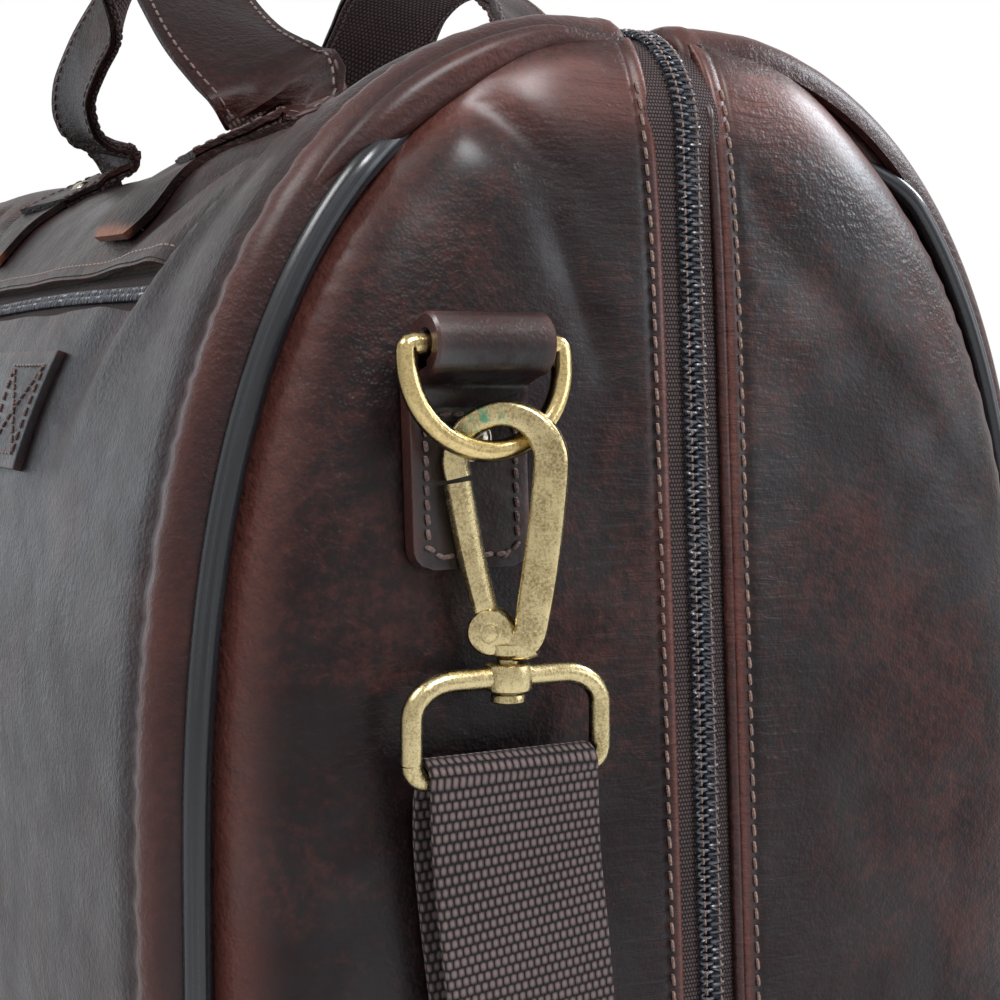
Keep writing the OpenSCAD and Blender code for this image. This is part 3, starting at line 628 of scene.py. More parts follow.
def brass(name, pale, dark=(0.20, 0.15, 0.07), patina=0.0, smooth_by=0.8):
    """Antique brass: rubbed bright, dull in the hollows, with fine scratches, patina round the hook's eye, and painted
    shade darkening the side of a wire that faces away from the light.
    """
    r = Recipe(name)
    p = r.place()
    cloud = r.noise(p, 170, 4, 0.6, 0.4)
    pits = r.noise(p, 1700, 4, 0.75)
    colour = r.mix(r.ramp(cloud * 0.5 + pits, 0.52, 0.86), dark, pale)
    tarnish = r.attribute("tarnish")
    # Painted shade: the per-point attribute darkens the side of the ring and frame wires that faces the panel
    colour = r.mix((tarnish * (0.5 + cloud * 0.6)).clamp(), colour, shade(dark, 0.4))
    if patina:
        y, z = r.axes(p)[1:]
        near = (1 - (((z - 0.2) / 0.006) ** 2.0 + ((y + 0.0625) / 0.007) ** 2.0)).clamp()
        green = r.ramp(r.noise(p, 420, 4, 0.7) + near * 0.3, 0.72, 0.9, 0, patina) * near
        colour = r.mix(green.clamp(), colour, (0.03, 0.22, 0.13))
    rough = r.ramp(pits + cloud, 0.7, 1.35, 0.2 * smooth_by, 0.4 * smooth_by)
    scratch = r.noise(r.place(scale=(1, 1, 0.08), turn=(0.3, 0.1, 0)), 1500, 3, 0.6)
    return r.surface(Base_Color=colour, Metallic=1.0, Roughness=rough,
                     Normal=r.bump(pits * 0.7 + scratch * 0.4, 0.00012, 0.5))


def woven(name, dark, light, pitch_u, pitch_v, depth):
    """Woven webbing or tape: rows of yarn beads across it, laid by the piece's own lengthwise map."""
    r = Recipe(name)
    u, v = r.axes(r.place(uv=True))[:2]
    odd = ((u / pitch_u).floor() * 0.5).fract()
    a = ((u / pitch_u) * math.pi).sine().absolute()
    b = ((v / pitch_v + odd) * math.pi).sine().absolute()
    bead = a ** 0.5 * b ** 0.6
    fuzz = r.noise(r.place(), 2600, 3, 0.7)
    dirt = r.noise(r.place(), 45, 4, 0.6)
    tone = bead * 0.9 + fuzz * 0.25 + dirt * 0.3 - 0.42
    return r.surface(Base_Color=r.mix(r.ramp(tone, 0.1, 0.85), dark, light), Roughness=0.85,
                     Specular_IOR_Level=0.15, Sheen_Weight=0.04, Sheen_Roughness=0.5,
                     Normal=r.bump(bead + fuzz * 0.25, depth, 0.9))


def thread(name, dark, light):
    r = Recipe(name)
    twist = (r.axes(r.place(turn=(0.5, 0.6, 0.3)))[2] * 9000).sine()
    fuzz = r.noise(r.place(), 1500, 3, 0.7)
    return r.surface(Base_Color=r.mix(r.ramp(fuzz, 0.3, 0.7), dark, light), Roughness=0.72, Sheen_Weight=0.2,
                     Normal=r.bump(twist * 0.5 + fuzz, 0.0001, 0.6))


def coil_finish():
    r = Recipe("zip coil")
    cloud = r.noise(r.place(), 300, 3, 0.6)
    colour = r.mix(r.ramp(cloud, 0.3, 0.7), (0.008, 0.009, 0.013), (0.036, 0.040, 0.052))
    return r.surface(Base_Color=colour, Roughness=0.27 + cloud * 0.14, Specular_IOR_Level=0.55,
                     Normal=r.bump(cloud, 0.0001, 0.3))


def plain_cloth(name, dark, light):
    r = Recipe(name)
    p = r.place()
    x, z = r.axes(p)[::2]
    weave = (x * 5200).sine() * 0.5 + (z * 5200).sine() * 0.5
    cloud = r.noise(p, 200, 4, 0.6)
    return r.surface(Base_Color=r.mix(r.ramp(cloud + weave * 0.1, 0.3, 0.7), dark, light), Roughness=0.9,
                     Normal=r.bump(weave + cloud, 0.0002, 0.5))


PALETTE = {}


def palette():
    """All finishes of the bag, made once."""
    if PALETTE:
        return PALETTE
    c = bpy.context.scene.bag_finishes
    body, red, bright = tuple(c.leather_brown), tuple(c.leather_red), tuple(c.brass)
    dark = shade(body, 0.36)
    PALETTE.update(
        end=leather("end leather", dark, shade(body, 0.82), shade(red, 1.1), gloss=0.32, wear=0.7, polish=0.23,
                    pucker="zip"),
        wall=leather("wall leather", shade(dark, 0.7), shade(body, 0.9), shade(red, 0.85), streak=0.5, gloss=0.31,
                     polish=0.11, sheen=0.2, pucker="roll"),
        strap=leather("strap leather", dark, shade(body, 0.6), shade(red, 0.6), gloss=0.36, polish=0.03,
                      pucker="foot"),
        patch=leather("patch leather", dark, shade(body, 0.9), shade(red, 0.7), gloss=0.3, polish=0.16),
        tail=leather("tail leather", dark, shade(body, 0.7), shade(red, 0.7), gloss=0.36, wear=1.2, polish=0.08,
                     worn=(0.16, 0.05, 0.018)),
        tab=leather("tab leather", dark, shade(body, 0.8), shade(red, 0.6), gloss=0.27, polish=0.55),
        piping=piping_finish(),
        brass=brass("antique brass", bright),
        ring=brass("golden brass", (0.52, 0.40, 0.19), (0.30, 0.22, 0.09), smooth_by=0.5),
        hook=brass("antique brass with patina", bright, patina=0.8),
        rivet=brass("old rivet", (0.42, 0.38, 0.31), (0.20, 0.17, 0.13)),
        webbing=woven("webbing", (0.006, 0.004, 0.004), tuple(c.webbing), 0.0020, 0.0016, 0.0006),
        handle_web=woven("handle webbing", (0.012, 0.006, 0.006), (0.105, 0.060, 0.055), 0.0022, 0.0014, 0.0004),
        tape=woven("zip tape", (0.008, 0.005, 0.005), (0.085, 0.058, 0.056), 0.0009, 0.0007, 0.0003),
        coil=coil_finish(),
        thread=thread("thread", (0.07, 0.036, 0.026), tuple(c.thread)),
        dark_thread=thread("dark thread", (0.028, 0.013, 0.011), (0.115, 0.062, 0.050)),
        lining=plain_cloth("lining", (0.09, 0.065, 0.05), (0.17, 0.13, 0.10)),
        board=plain_cloth("base board", (0.015, 0.013, 0.012), (0.04, 0.035, 0.03)),
    )
    return PALETTE


# Front and rear wall

HEM = np.array([0, 0.6, 1.4, 2.4, 3.6, 5, 6.5, 8, 9.5, 11, 12.5, 14])
WALL_X = np.concatenate([HEM - HALF_L, np.linspace(-203, 203, 116), HALF_L - HEM[::-1]])


def wall_rows(front):
    """Distances of the wall's rows from the zip, and how deep each is sunk at the folded edge."""
    start = 9.0
    stop = np.interp(-66, ANGLES[::-1], OUTLINE_RUN[::-1])
    edge = start + np.array([0, 0, 0.3, 0.9, 1.8, 3.0, 4.2, 5.5, 7.5])
    depth = np.array([3.0, 1.3, 0.5, 0.12, 0.0, 0.22, 0.12, 0, 0])
    rest = np.linspace(start + 10, stop, 132)
    if front:
        lips = distance_at_z(np.array(POCKET_Z))
        clear = np.minimum(np.abs(rest - lips[0]), np.abs(rest - lips[1])) > 1.3
        rest = np.sort(np.concatenate([rest[clear], lips]))
    return np.concatenate([edge, rest]), np.concatenate([depth, np.zeros(len(rest))])


def end_roll(e, dist):
    """Inset and lift of the wall's end, a distance e from its seam: a padded roll that turns into the seam."""
    r = 6.0
    turn = np.where(e < r, r - np.sqrt(np.clip(r * r - (r - e) ** 2, 0, None)), 0)
    valley = 1.5 * hump(e, 11.5, 3.2)
    pucker = 0.28 * np.sin(dist * 0.8 + 2.5 * np.sin(dist / 11)) * hump(e, 9, 5) * smooth((e - 1.5) / 4)
    return turn + (valley + pucker) * smooth((dist - 8) / 25)


def wall_folds(x, dist, seed, front):
    """How far soft folds lift the wall, in millimetres."""
    lift = 0.9 * hash_wave(x / 75, dist / 85, seed) * smooth((dist - 30) / 60)
    lift = lift + 0.8 * hash_wave(x / 30, dist / 170, seed + 3) * smooth((dist - 60) / 80) * smooth((330 - dist) / 80)
    for s in (-1, 1):
        ox, od = 198.0 - s * x, dist - 34.0
        a = np.arctan2(np.maximum(od, 0.1), np.maximum(ox, 0.1))
        far = np.hypot(od, ox)
        fan = np.sin(a * 15.0 + 0.7 * seed + 0.5 * np.sin(far / 40)) + 0.5 * np.sin(a * 27 + seed)
        reach = smooth((far - 12) / 35) * smooth((190 - far) / 120)
        lift = lift + 1.6 * fan * reach * smooth((1.45 - a) / 0.5) * smooth(a / 0.25)
    for middle in (-HANDLE_X, HANDLE_X):
        lift = lift + 0.8 * hump(np.abs(x - middle), 24, 7) * hump(dist, 50, 30)
    if front:
        lift = lift - 1.2 * hump(dist, 92, 14) * smooth((158 - np.abs(x)) / 20)
    return lift


def cut_pocket(obj, dist):
    """Opens the pocket's slot in the front wall's grid."""
    rows = range(*(nearest(dist, distance_at_z(z)) for z in POCKET_Z[::-1]))
    columns = range(nearest(WALL_X, -POCKET_X), nearest(WALL_X, POCKET_X))
    bpy.ops.object.mode_set(mode="EDIT")
    bpy.ops.mesh.select_all(action="DESELECT")
    bpy.ops.object.mode_set(mode="OBJECT")
    for j in rows:
        for i in columns:
            obj.data.polygons[j * (len(WALL_X) - 1) + i].select = True
    bpy.ops.object.mode_set(mode="EDIT")
    bpy.ops.mesh.select_mode(type="FACE")
    bpy.ops.mesh.delete(type="FACE")
    bpy.ops.object.mode_set(mode="OBJECT")


def make_wall(front):
    dist, depth = wall_rows(front)
    seed = FRONT_SEED if front else REAR_SEED
    nx, nv = len(WALL_X) - 1, len(dist) - 1

    def place(u, v):
        j = index(v, nv)
        x, d = WALL_X[index(u, nx)], dist[j]
        e = HALF_L - np.abs(x)
        hem = smooth((e - 3) / 10) * smooth((d - 12) / 14)
        corner = np.clip(np.abs(x) - 206.5, 0, None)
        inset = end_roll(e, d) + depth[j] - wall_folds(x, d, seed, front) * hem
        inset = inset + (28 - np.sqrt(28 ** 2 - corner ** 2)) * smooth((30 - d) / 20)
        y, z = outline(angle_at(d), x, inset)
        flat = d < 22
        y, z = np.where(flat, d, y), np.where(flat, roof_z(d, x, inset), z)
        return points(x, (-y if front else y), np.maximum(z, 3.4))

    obj = lay("front_wall" if front else "rear_wall", nx, nv, place)
    if front:
        cut_pocket(obj, dist)
    else:
        turn_over(obj)
    thicken(obj, WALL_T)
    return rub(obj, lambda x, y, z: hump(HALF_L - np.abs(x), 4.5, 6) * 0.95 + hump(np.abs(y), 10, 2.2) * (z > 200) * 0.7
               + 0.35 * hump(np.abs(x), 185, 22) * hump(z, 262, 16))


# End panels

EDGE_D = np.array([1.2, 0.0, 0.0, 0.35, 1.0, 2.0, 3.2, 4.0, 4.8, 6.0, 8.0])
EDGE_X = np.array([-3.4, -2.4, -1.1, -0.3, 0.1, 0.25, -0.05, -0.45, -0.05, 0.1, 0.0])
PANEL_Z = np.concatenate([10.3 + np.array([0, 0.4, 1, 2, 3.2, 4.8, 6.6, 9, 12]), np.linspace(26, 262, 110),
                          275.6 - np.array([11, 9, 7, 5.2, 3.6, 2.3, 1.2, 0.4, 0])])
PANEL_W = np.concatenate([np.linspace(0.02, 0.9, 40), [0.93, 0.955, 0.972, 0.984, 0.992, 0.997, 1.0]])


def rim_y(z):
    return wall_y(z, HALF_L, RIM)


def panel_x(y, z):
    """How far out an end panel stands at (y, z)."""
    y, z = np.abs(np.asarray(y, float)), np.asarray(z, float)
    top = z >= MID
    n = np.where(top, TOP_POWER, FOOT_POWER)
    b = np.where(top, HEIGHT - RIM - MID, MID - RIM)
    q = np.clip(((y / (HALF_D - RIM)) ** n + (np.abs(z - MID) / b) ** n) ** (1 / n), 0, 1)
    return HALF_L + 0.3 + (crown(z) - 0.3) * np.clip(1 - q ** 13, 0, 1) ** 0.8


def raised(y, z):
    """The panels stretch up towards the zip at the top of the bag."""
    return z + 6.2 * smooth((z - 236) / 38) * smooth((74 - np.abs(y)) / 44)


def panel_folds(y, z, seed, rear):
    """Soft folds, puckers along the zip, and the front half's creases from the ring up to the piping."""
    y = np.abs(y)
    lift = 0.9 * hash_wave(y / 26, z / 42, seed) * smooth((y - 14) / 14)
    near = np.exp(-(y - 12) / 9) * (0.6 + 0.4 * np.sin(z / 23 + seed))
    lift = lift + 0.30 * near * np.sin(z * 0.62 + 3.0 * np.sin(z / 13 + seed) + y * 0.12) * smooth((y - 12.5) / 3)
    if rear:
        lift = lift + 1.3 * hump(y, 40, 26) * hump(z, 238, 22)
        return lift - 0.8 * hump((y - 70) * 0.7 + (z - 190) * 0.7, 0, 7.0)
    across = 0.82 * (z - 260) - 0.57 * (y - 46)
    lift = lift - 2.3 * hump(across, 0, 4.2) * hump(y, 46, 17)
    lift = lift + 1.3 * hump(across, -10, 8.5) * hump(y, 53, 19)
    return lift - 1.5 * hump((y - 28) * 0.8 - (z - 225) * 0.3, 0, 3.5) * hump(z, 225, 20)


def slot_half(z, rear=False):
    return (8.2 if rear else 7.0) * smooth((z - 50) / 7) + 0.25


def make_end(side, rear):
    """Half an end panel: a folded edge with its sewn groove along the zip, then the panel out to its rim."""
    edges = len(EDGE_D)
    nz, nu = len(PANEL_Z) - 1, edges + len(PANEL_W) - 1

    def place(u, v):
        i, z = index(u, nu), PANEL_Z[index(v, nz)]
        ye, yr = slot_half(z, rear), np.maximum(rim_y(z), 8.8)
        room = np.maximum(yr - ye, 0.05)
        edge, at_edge = i < edges, np.minimum(i, edges - 1)
        shrink = np.minimum(1, room / 18)
        de = EDGE_D[at_edge] * shrink
        w = PANEL_W[np.clip(i - edges, 0, None)]
        y = np.where(edge, ye + de, ye + 8 * shrink + (room - 8 * shrink) * w)
        x = panel_x(y, z) + np.where(edge, EDGE_X[at_edge] * smooth((z - 44) / 8), 0)
        soft = smooth((yr - y) / 12) * smooth((z - 14) / 12) * smooth((274 - z) / 10)
        x = x + panel_folds(y, z, 3 if rear else 1, rear) * soft * np.where(edge, smooth((de - 3) / 5), 1)
        seam = smooth((rim_y(z) - y) / 14) * smooth((y - 50) / 25)
        pucker = smooth((rim_y(z) - y) / 3) * smooth((y - 60) / 15)
        x = x + 0.35 * np.sin(z * 0.85 + 2.2 * np.sin(z / 9)) * (1 - seam) * pucker
        return points(side * x, (y if rear else -y), raised(y, z))

    obj = lay(f"end_{END_WORD[side]}_{'rear' if rear else 'front'}_skin", nu, nz, place)
    if (side > 0) != rear:
        turn_over(obj)
    thicken(obj, PANEL_T)
    return rub(obj, lambda x, y, z: hump(np.abs(y), slot_half(z, rear) + 0.6, 1.3) * 0.95
               + hump(rim_y(z) - np.abs(y), 2.0, 4.5) * 0.75 + hump(z, 269, 9) * 0.8)


# Zip

def zip_path():
    """The main zip's middle line in (x, z), from end to end over the top, its outward normals and its run."""
    z = np.linspace(61, HEIGHT - ZIP_R, 260, endpoint=False)
    side = np.stack([HALF_L + crown(z), z], axis=1)
    cx = HALF_L + crown(HEIGHT - ZIP_R) - ZIP_R
    a = np.linspace(0, math.pi / 2, 70, endpoint=False)
    arc = np.stack([cx + ZIP_R * np.cos(a), HEIGHT - ZIP_R + ZIP_R * np.sin(a)], axis=1)
    x = np.linspace(cx, 0, 260)
    half = np.vstack([side, arc, np.stack([x, HEIGHT - sag(x)], axis=1)])
    full = np.vstack([half * [-1, 1], half[::-1][1:]])
    p = even(full, 1600)
    t = unit(np.gradient(p, axis=0))
    return p, np.stack([-t[:, 1], t[:, 0]], axis=1), np.linspace(0, lengths(full)[-1], 1600)


def over_zip(path, s, height):
    """x and z at a distance s along the zip and a height over it."""
    p, nrm, at = path
    return [np.interp(s, at, p[:, k]) + np.interp(s, at, nrm[:, k]) * height for k in (0, 1)]


def coil_turns(turns, pitch, half, rise):
    """Along, across and height of a zip's spiral: legs across on top, and the step to the next turn underneath."""
    per = 12
    k = np.arange(turns * per + 1)
    g = 2 * math.pi * (k % per) / per
    step = np.clip((g / math.pi - 1) * 1.2 - 0.1, 0, 1)
    c = np.sign(np.cos(g)) * np.abs(np.cos(g)) ** 0.7
    swing = 0.22 * pitch * np.clip(c, 0, 1) ** 2 * (np.sin(g) > -0.2)
    return (k // per + step) * pitch - swing, (half - 0.2) / 2 + (half + 0.2) / 2 * c, rise * 0.5 * (np.sin(g) - 1)


COIL_PITCH = 1.9


def make_zip():
    """Tape, both spirals of the chain, and the chain's sewing."""
    m = palette()
    path = zip_path()
    p, nrm, at = path

    def place(u, v):
        s = u * at[-1]
        x, z = over_zip(path, s, -1.9 - 0.5 * (2 * v - 1) ** 2)
        return points(x, (2 * v - 1) * 9.6, z)

    tape = lay("main_tape", 700, 8, place, uv=lambda u, v: (u * at[-1], v * 18))
    finish(thicken(tape, TAPE_T), m["tape"], "tape", replaces=("zip_tape",))
    runs = []
    for side, word in ((-1, "front"), (1, "rear")):
        s, y, h = coil_turns(int(at[-1] / COIL_PITCH) - 1, COIL_PITCH, half=2.95, rise=1.4)
        x, z = over_zip(path, s + (COIL_PITCH / 2 if side > 0 else 0), h)
        coil = sweep(f"main_coil_{word}", points(x, side * y, z), round_section(0.36, 5))
        finish(coil, m["coil"], "coil", replaces=(f"zip_coil_{word}",), angle=60)
        x, z = (p + nrm * 0.22).T
        runs.append((points(x, side * 1.85, z), points(nrm[:, 0], 0, nrm[:, 1])))
    sew = stitches("chain_sewing", runs, pitch=COIL_PITCH, length=1.5, thick=0.45)
    finish(sew, m["thread"], "tape")


def zip_facing_stitches():
    """Thread along both folded edges of the zip, on the ends and over the top."""
    z = np.linspace(58, 266, 130)
    x_top = np.linspace(213, -213, 300)
    for side, word, y in ((-1, "front", 10.4), (1, "rear", 11.8)):
        runs = []
        for k in (-1, 1):
            runs.append((points(k * (panel_x(y, z) + 0.05), side * y, raised(y, z)), [k, 0, 0.1]))
        runs.append((points(x_top, side * 13.2, roof_z(13.2, x_top, 0.2)), [0, 0, 1.0]))
        sew = stitches(f"zip_edge_sewing_{word}", runs, pitch=3.7, length=2.8, thick=0.85, slant=0.1)
        finish(sew, palette()["thread"], "strap_leather")


def make_zip_welt():
    """Narrow leather piping along the rear edge of the zip on both ends, and over the top."""
    z = np.linspace(57, 262, 60)
    x = np.linspace(212, 0, 50)
    side = points(panel_x(9.4, z) - 0.9, 7.4, raised(9.4, z))
    half = spline(np.vstack([side, points(x, 8.2, roof_z(9.5, x) - 1.0)]), 190)
    obj = sweep("zip_welt", np.vstack([half, (half * [-1, 1, 1])[::-1][1:]]), round_section(1.25, 10))
    rub(obj, lambda x, y, z: 0 * x + 0.3)
    finish(obj, palette()["end"], "body_leather")


# Pocket

POCKET_MID = 229.0
POCKET_COIL_PITCH = 1.3


def at_pocket(x, out, up):
    """Point on the pocket's slit: out is away from the wall, up is along it."""
    lean = math.atan2(float(wall_y(POCKET_MID - 5) - wall_y(POCKET_MID + 5)), 10.0)
    c, s = math.cos(lean), math.sin(lean)
    return points(x, -float(wall_y(POCKET_MID)) - out * c + up * s, POCKET_MID + out * s + up * c)


def make_pocket():
    m = palette()

    def on_tape(u, v):
        return at_pocket((2 * u - 1) * 148, -2.15 - 0.3 * np.abs(2 * v - 1), (2 * v - 1) * 7.0)

    tape = lay("pocket_tape_cloth", 160, 8, on_tape, uv=lambda u, v: (u * 296, v * 17))
    finish(thicken(tape, TAPE_T), m["tape"], "tape", replaces=("pocket_tape",))
    coils = []
    for side in (-1, 1):
        run, wide, deep = coil_turns(int(276 / POCKET_COIL_PITCH), POCKET_COIL_PITCH, half=2.1, rise=1.1)
        x = run - 139 + (POCKET_COIL_PITCH / 2 if side > 0 else 0)
        bow = 1.1 * np.sin((x + 40) / 48.0) * smooth((150 - np.abs(x)) / 30)
        coils.append(sweep(f"pocket_coil_{side}", at_pocket(x, deep - 1.0, side * wide + bow), round_section(0.29, 5)))
    finish(join("pocket_chain", coils), m["coil"], "coil", replaces=("pocket_coil",), angle=60)
    x = np.linspace(-146, 146, 200)
    low, high = distance_at_z(POCKET_Z[0]) + 3.2, distance_at_z(POCKET_Z[1]) - 3.2
    runs = [(on_front(x, d, lift), [0, -0.78, 0.62]) for d, lift in ((low, -0.1), (high, 1.9))]
    sew = stitches("pocket_sewing", runs, pitch=3.6, length=2.9, thick=0.7)
    finish(sew, m["thread"], "strap_leather")

    def lip(u, v):
        x = (2 * u - 1) * 156
        d = distance_at_z(POCKET_Z[1] - 1.2) - v * 12 * (0.4 + 0.6 * smooth((156 - np.abs(x)) / 16))
        return on_front(x, d, 1.7 * np.minimum(1, (1 - v) * 2.2) ** 0.5 + 0.1 - smooth((v - 0.5) / 0.5))

    flap = thicken(lay("pocket_lip", 120, 8, lip), 1.3)
    rub(flap, lambda x, y, z: 0 * x + 0.25)
    finish(flap, m["wall"], "body_leather")
    paint(["pocket_pouch"], m["lining"])


# Piping

def make_piping(side):
    """Both cords round the rim of an end; the rear one is thinner, and both sink in under the roll at the top."""
    runs = []
    t = np.concatenate([np.linspace(78, 20, 90), np.linspace(19, -19, 40), np.linspace(-20, -89.9, 110)])
    y, z = outline(t, HALF_L, 7.0)
    sunk = (1 - smooth((y - 58) / 16)) * (t > 0)
    for k, radius, back in ((-1, 3.0, 0), (1, 2.3, 0.8)):
        x = HALF_L + 3.1 - 5.5 * sunk - back
        runs.append(sweep(f"p{k}", points(side * x, k * y, z - 3.0 * sunk), round_section(radius, 20)))
    obj = join(f"piping_{END_WORD[side]}_cord", runs)
    finish(obj, palette()["piping"], "piping", replaces=(f"piping_{END_WORD[side]}",))


def make_roll_covers():
    """Wall leather turned down over the top ends of the piping, so that the cord comes out from under it."""
    angles = np.linspace(89, 30, 400)
    reach = outline(angles, HALF_L, 5.0)[0]
    y, z = outline(np.interp(np.linspace(11.0, 86, 60), reach, angles), HALF_L)
    over = smooth((86 - y) / 20)
    thin = 0.45 + 0.55 * smooth((y - 12) / 45)
    low = 4.6 * thin * (0.5 + 0.5 * over)
    grad = unit(np.stack([np.gradient(y), np.gradient(z)], axis=1))
    y, z = y + grad[:, 1] * (low + 0.7), z - grad[:, 0] * (low + 0.7)
    z = z - 3.4 * smooth((30 - y) / 20)
    x = HALF_L + 0.9 - 3.0 * (1 - over)
    crease = 1 + 0.07 * hash_wave(y / 5, 0, 3)
    for word, way, size, back, sunk in (("front", -1, 1.0, 0, 0), ("rear", 1, 0.55, 3.4, 2.8)):
        scale = np.stack([3.6 * thin * crease, low * crease], axis=1) * size
        parts = [sweep(f"c{sx}", points(sx * (x - back), way * y, z - sunk), round_section(1.0, 22),
                       wide=(1, 0, 0), scale=scale) for sx in (-1, 1)]
        obj = join(f"{word}_roll_covers", parts)
        rub(obj, lambda x, y, z: 0.25 + 0.55 * hump(np.abs(x), 223.5, 2))
        finish(obj, palette()["wall"], "body_leather", angle=70)


# Straps and handles; each row is a point, then the direction across the strap

FRONT_ARCH = np.array([
    (84, -37, 278.3, 0.97, -0.20, 0), (85, -34, 281, 0.92, 0.20, 0.05), (84.5, -34, 284.3, 0.68, 0.68, 0.1),
    (80.5, -37, 289.4, 0.3, 0.92, 0.2), (73, -41, 295.4, 0.1, 0.96, 0.24), (61, -44.5, 304, 0, 0.98, 0.14),
    (46, -46, 315.2, -0.03, 0.99, 0.02), (31, -46, 326, -0.03, 0.99, -0.02), (16, -46, 334.6, -0.02, 0.98, 0.1),
    (0, -46, 338.8, -0.05, 0.93, 0.35), (-15, -46, 336.6, -0.22, 0.6, 0.75), (-30, -48, 330.6, -0.45, 0.25, 0.85),
    (-44.5, -51, 321.3, -0.6, 0.16, 0.78), (-56.8, -53.5, 311.3, -0.72, 0.06, 0.69),
    (-65.4, -53, 301.4, -0.83, -0.12, 0.54), (-72, -48.5, 294, -0.92, -0.22, 0.3), (-77, -41, 289.5, -0.97, -0.18, 0.1),
    (-79.5, -35.5, 285, -0.98, 0, 0.05), (-80, -34.5, 281, -0.99, 0.02, 0), (-80, -38, 279, -0.99, 0.05, 0)])
REAR_HALF = np.array([
    (84, -38, 279, 0.97, -0.2, 0), (86, -34, 281.6, 0.95, -0.15, 0.08), (88.5, -30.5, 285, 0.93, 0.2, 0.08),
    (88.5, -32, 288.8, 0.75, 0.62, 0.05), (84.5, -38, 295.3, 0.58, 0.8, 0.12), (78, -45, 302.8, 0.48, 0.85, 0.2),
    (66, -52, 312.8, 0.39, 0.88, 0.22), (48, -53, 326.6, 0.25, 0.94, 0.2), (25, -50, 337, 0.1, 0.98, 0.15),
    (0, -48.5, 340.4, 0, 0.99, 0.12)])
TAIL_LEAN = math.tan(math.radians(11))
TAIL_FOLDS = 0.75  # share of the wall's folds that the stiff tails follow


def tail_x(cx, d):
    """Middle of a tail at a distance d from the zip; both tails lean towards each other."""
    return cx - np.sign(cx) * (d - 44) * TAIL_LEAN


def foot(sign):
    """Points of a handle's end where it lies on its tail, from the tip to the bend."""
    d = np.array([62.0, 57.0, 52.0, 47.0])
    return np.hstack([on_front(tail_x(sign * 82.5, d), d, 4.6, TAIL_FOLDS), [[sign * 0.98, -0.12, 0]] * 4])


def handle_line(rear):
    arch = FRONT_ARCH
    if rear:
        arch = np.vstack([REAR_HALF, (REAR_HALF * [-1, 1, 1, -1, 1, 1])[::-1][1:]])
    first, last = foot(1), foot(-1)[::-1]
    way = np.sign(arch[-1, 3])
    last[:, 3] = way * np.abs(last[:, 3])
    last[:, 4] *= -way
    return spline(np.vstack([first, arch, last]), 150)


def make_handle(rear):
    """One handle: leather over webbing, with both edges sewn, and its ends flat on the tails."""
    word = "rear" if rear else "front"
    line = handle_line(rear)
    if rear:
        line = line[::-1] * [1, -1, 1, 1, -1, 1]
    pos, across, out = frames(line[:, :3], line[:, 3:])
    k = np.linspace(0, 1, len(pos))
    wave = np.sin(k * 230 + 2 * np.sin(k * 60)) * hump(np.minimum(k, 1 - k), 0.125, 0.04)
    pos = pos + out * wave[:, None]
    skin = sweep(f"{word}_handle_strap", pos + out * 1.15, strap_section(38, 2.0, 12), across)
    web = sweep(f"{word}_handle_lining_web", pos - out * 0.95, strap_section(36, 1.7, 12), across)
    runs = []
    for e in (-16.2, 16.2):
        runs += [(pos + out * 2.1 + across * e, out), (pos - out * 1.75 + across * e, -out)]
    return skin, web, stitches(f"{word}_handle_sewing", runs, pitch=3.7, length=2.8, thick=0.8)


def make_tail(cx):
    """Riveted strap end that lies on the shoulder, with its point towards the pocket."""
    start, stop, tip = 37.0, 90.0, 12

    def place(u, v):
        d = start + (stop - start) * v
        past = np.maximum(tip - (stop - d), 0)
        half = 19 * np.sqrt(1 - (past / tip) ** 2 * 0.55)
        return on_front(tail_x(cx, d) + (2 * u - 1) * half, d, 2.6, TAIL_FOLDS)

    return face_out(thicken(lay(f"tail_{cx}", 18, 40, place), WALL_T))


def make_tails():
    """The four tails with their sewing; the rear pair mirrors the front one."""
    m = palette()
    edge, end = 15.6, 86.5
    d, u = np.linspace(64, end, 30), np.linspace(-edge, edge, 16)
    pieces, runs = [], []
    for cx in (HANDLE_X, -HANDLE_X):
        pieces.append(make_tail(cx))
        for k in (-edge, edge):
            runs.append((on_front(tail_x(cx, d) + k, d, 2.7, TAIL_FOLDS), [0, -0.45, 0.89]))
        runs.append((on_front(tail_x(cx, end) + u, end, 2.7, TAIL_FOLDS), [0, -0.6, 0.8]))
    tails = join("front_tails", pieces)
    rub(tails, lambda x, y, z: 0.8 * smooth((np.abs(y) - np.abs(y).max() + 3.2) / 2.2))
    sew = stitches("front_tail_sewing", runs, pitch=4.0, length=3.1, thick=0.75)
    rear, rear_sew = mirror_copy(tails, "rear_tails", 1), mirror_copy(sew, "rear_tail_sewing", 1)
    finish(tails, m["tail"], "strap_leather", replaces=("front_handle_tails",))
    finish(rear, m["tail"], "strap_leather", replaces=("rear_handle_tails",))
    finish(sew, m["dark_thread"], "strap_leather")
    finish(rear_sew, m["dark_thread"], "strap_leather")


RIVET_PROFILE = np.array([(0.0, 1.0), (0.25, 0.98), (0.5, 0.86), (0.7, 0.62), (0.8, 0.40), (0.86, 0.36), (0.93, 0.44),
                          (1.0, 0.30), (1.0, 0.0), (0.94, -0.12)])


def rivet_cap(name, centre, normal, radius, height):
    """Domed rivet head with a rolled rim."""
    n = unit(np.asarray(normal, float))
    a = unit(np.cross(n, [0.2, 0.9, 0.1]))
    b = np.cross(n, a)

    def place(r, g, h):
        return centre + np.outer(r * np.cos(g), a) + np.outer(r * np.sin(g), b) + np.outer(h, n)

    return turned(name, RIVET_PROFILE * [radius, height], place)


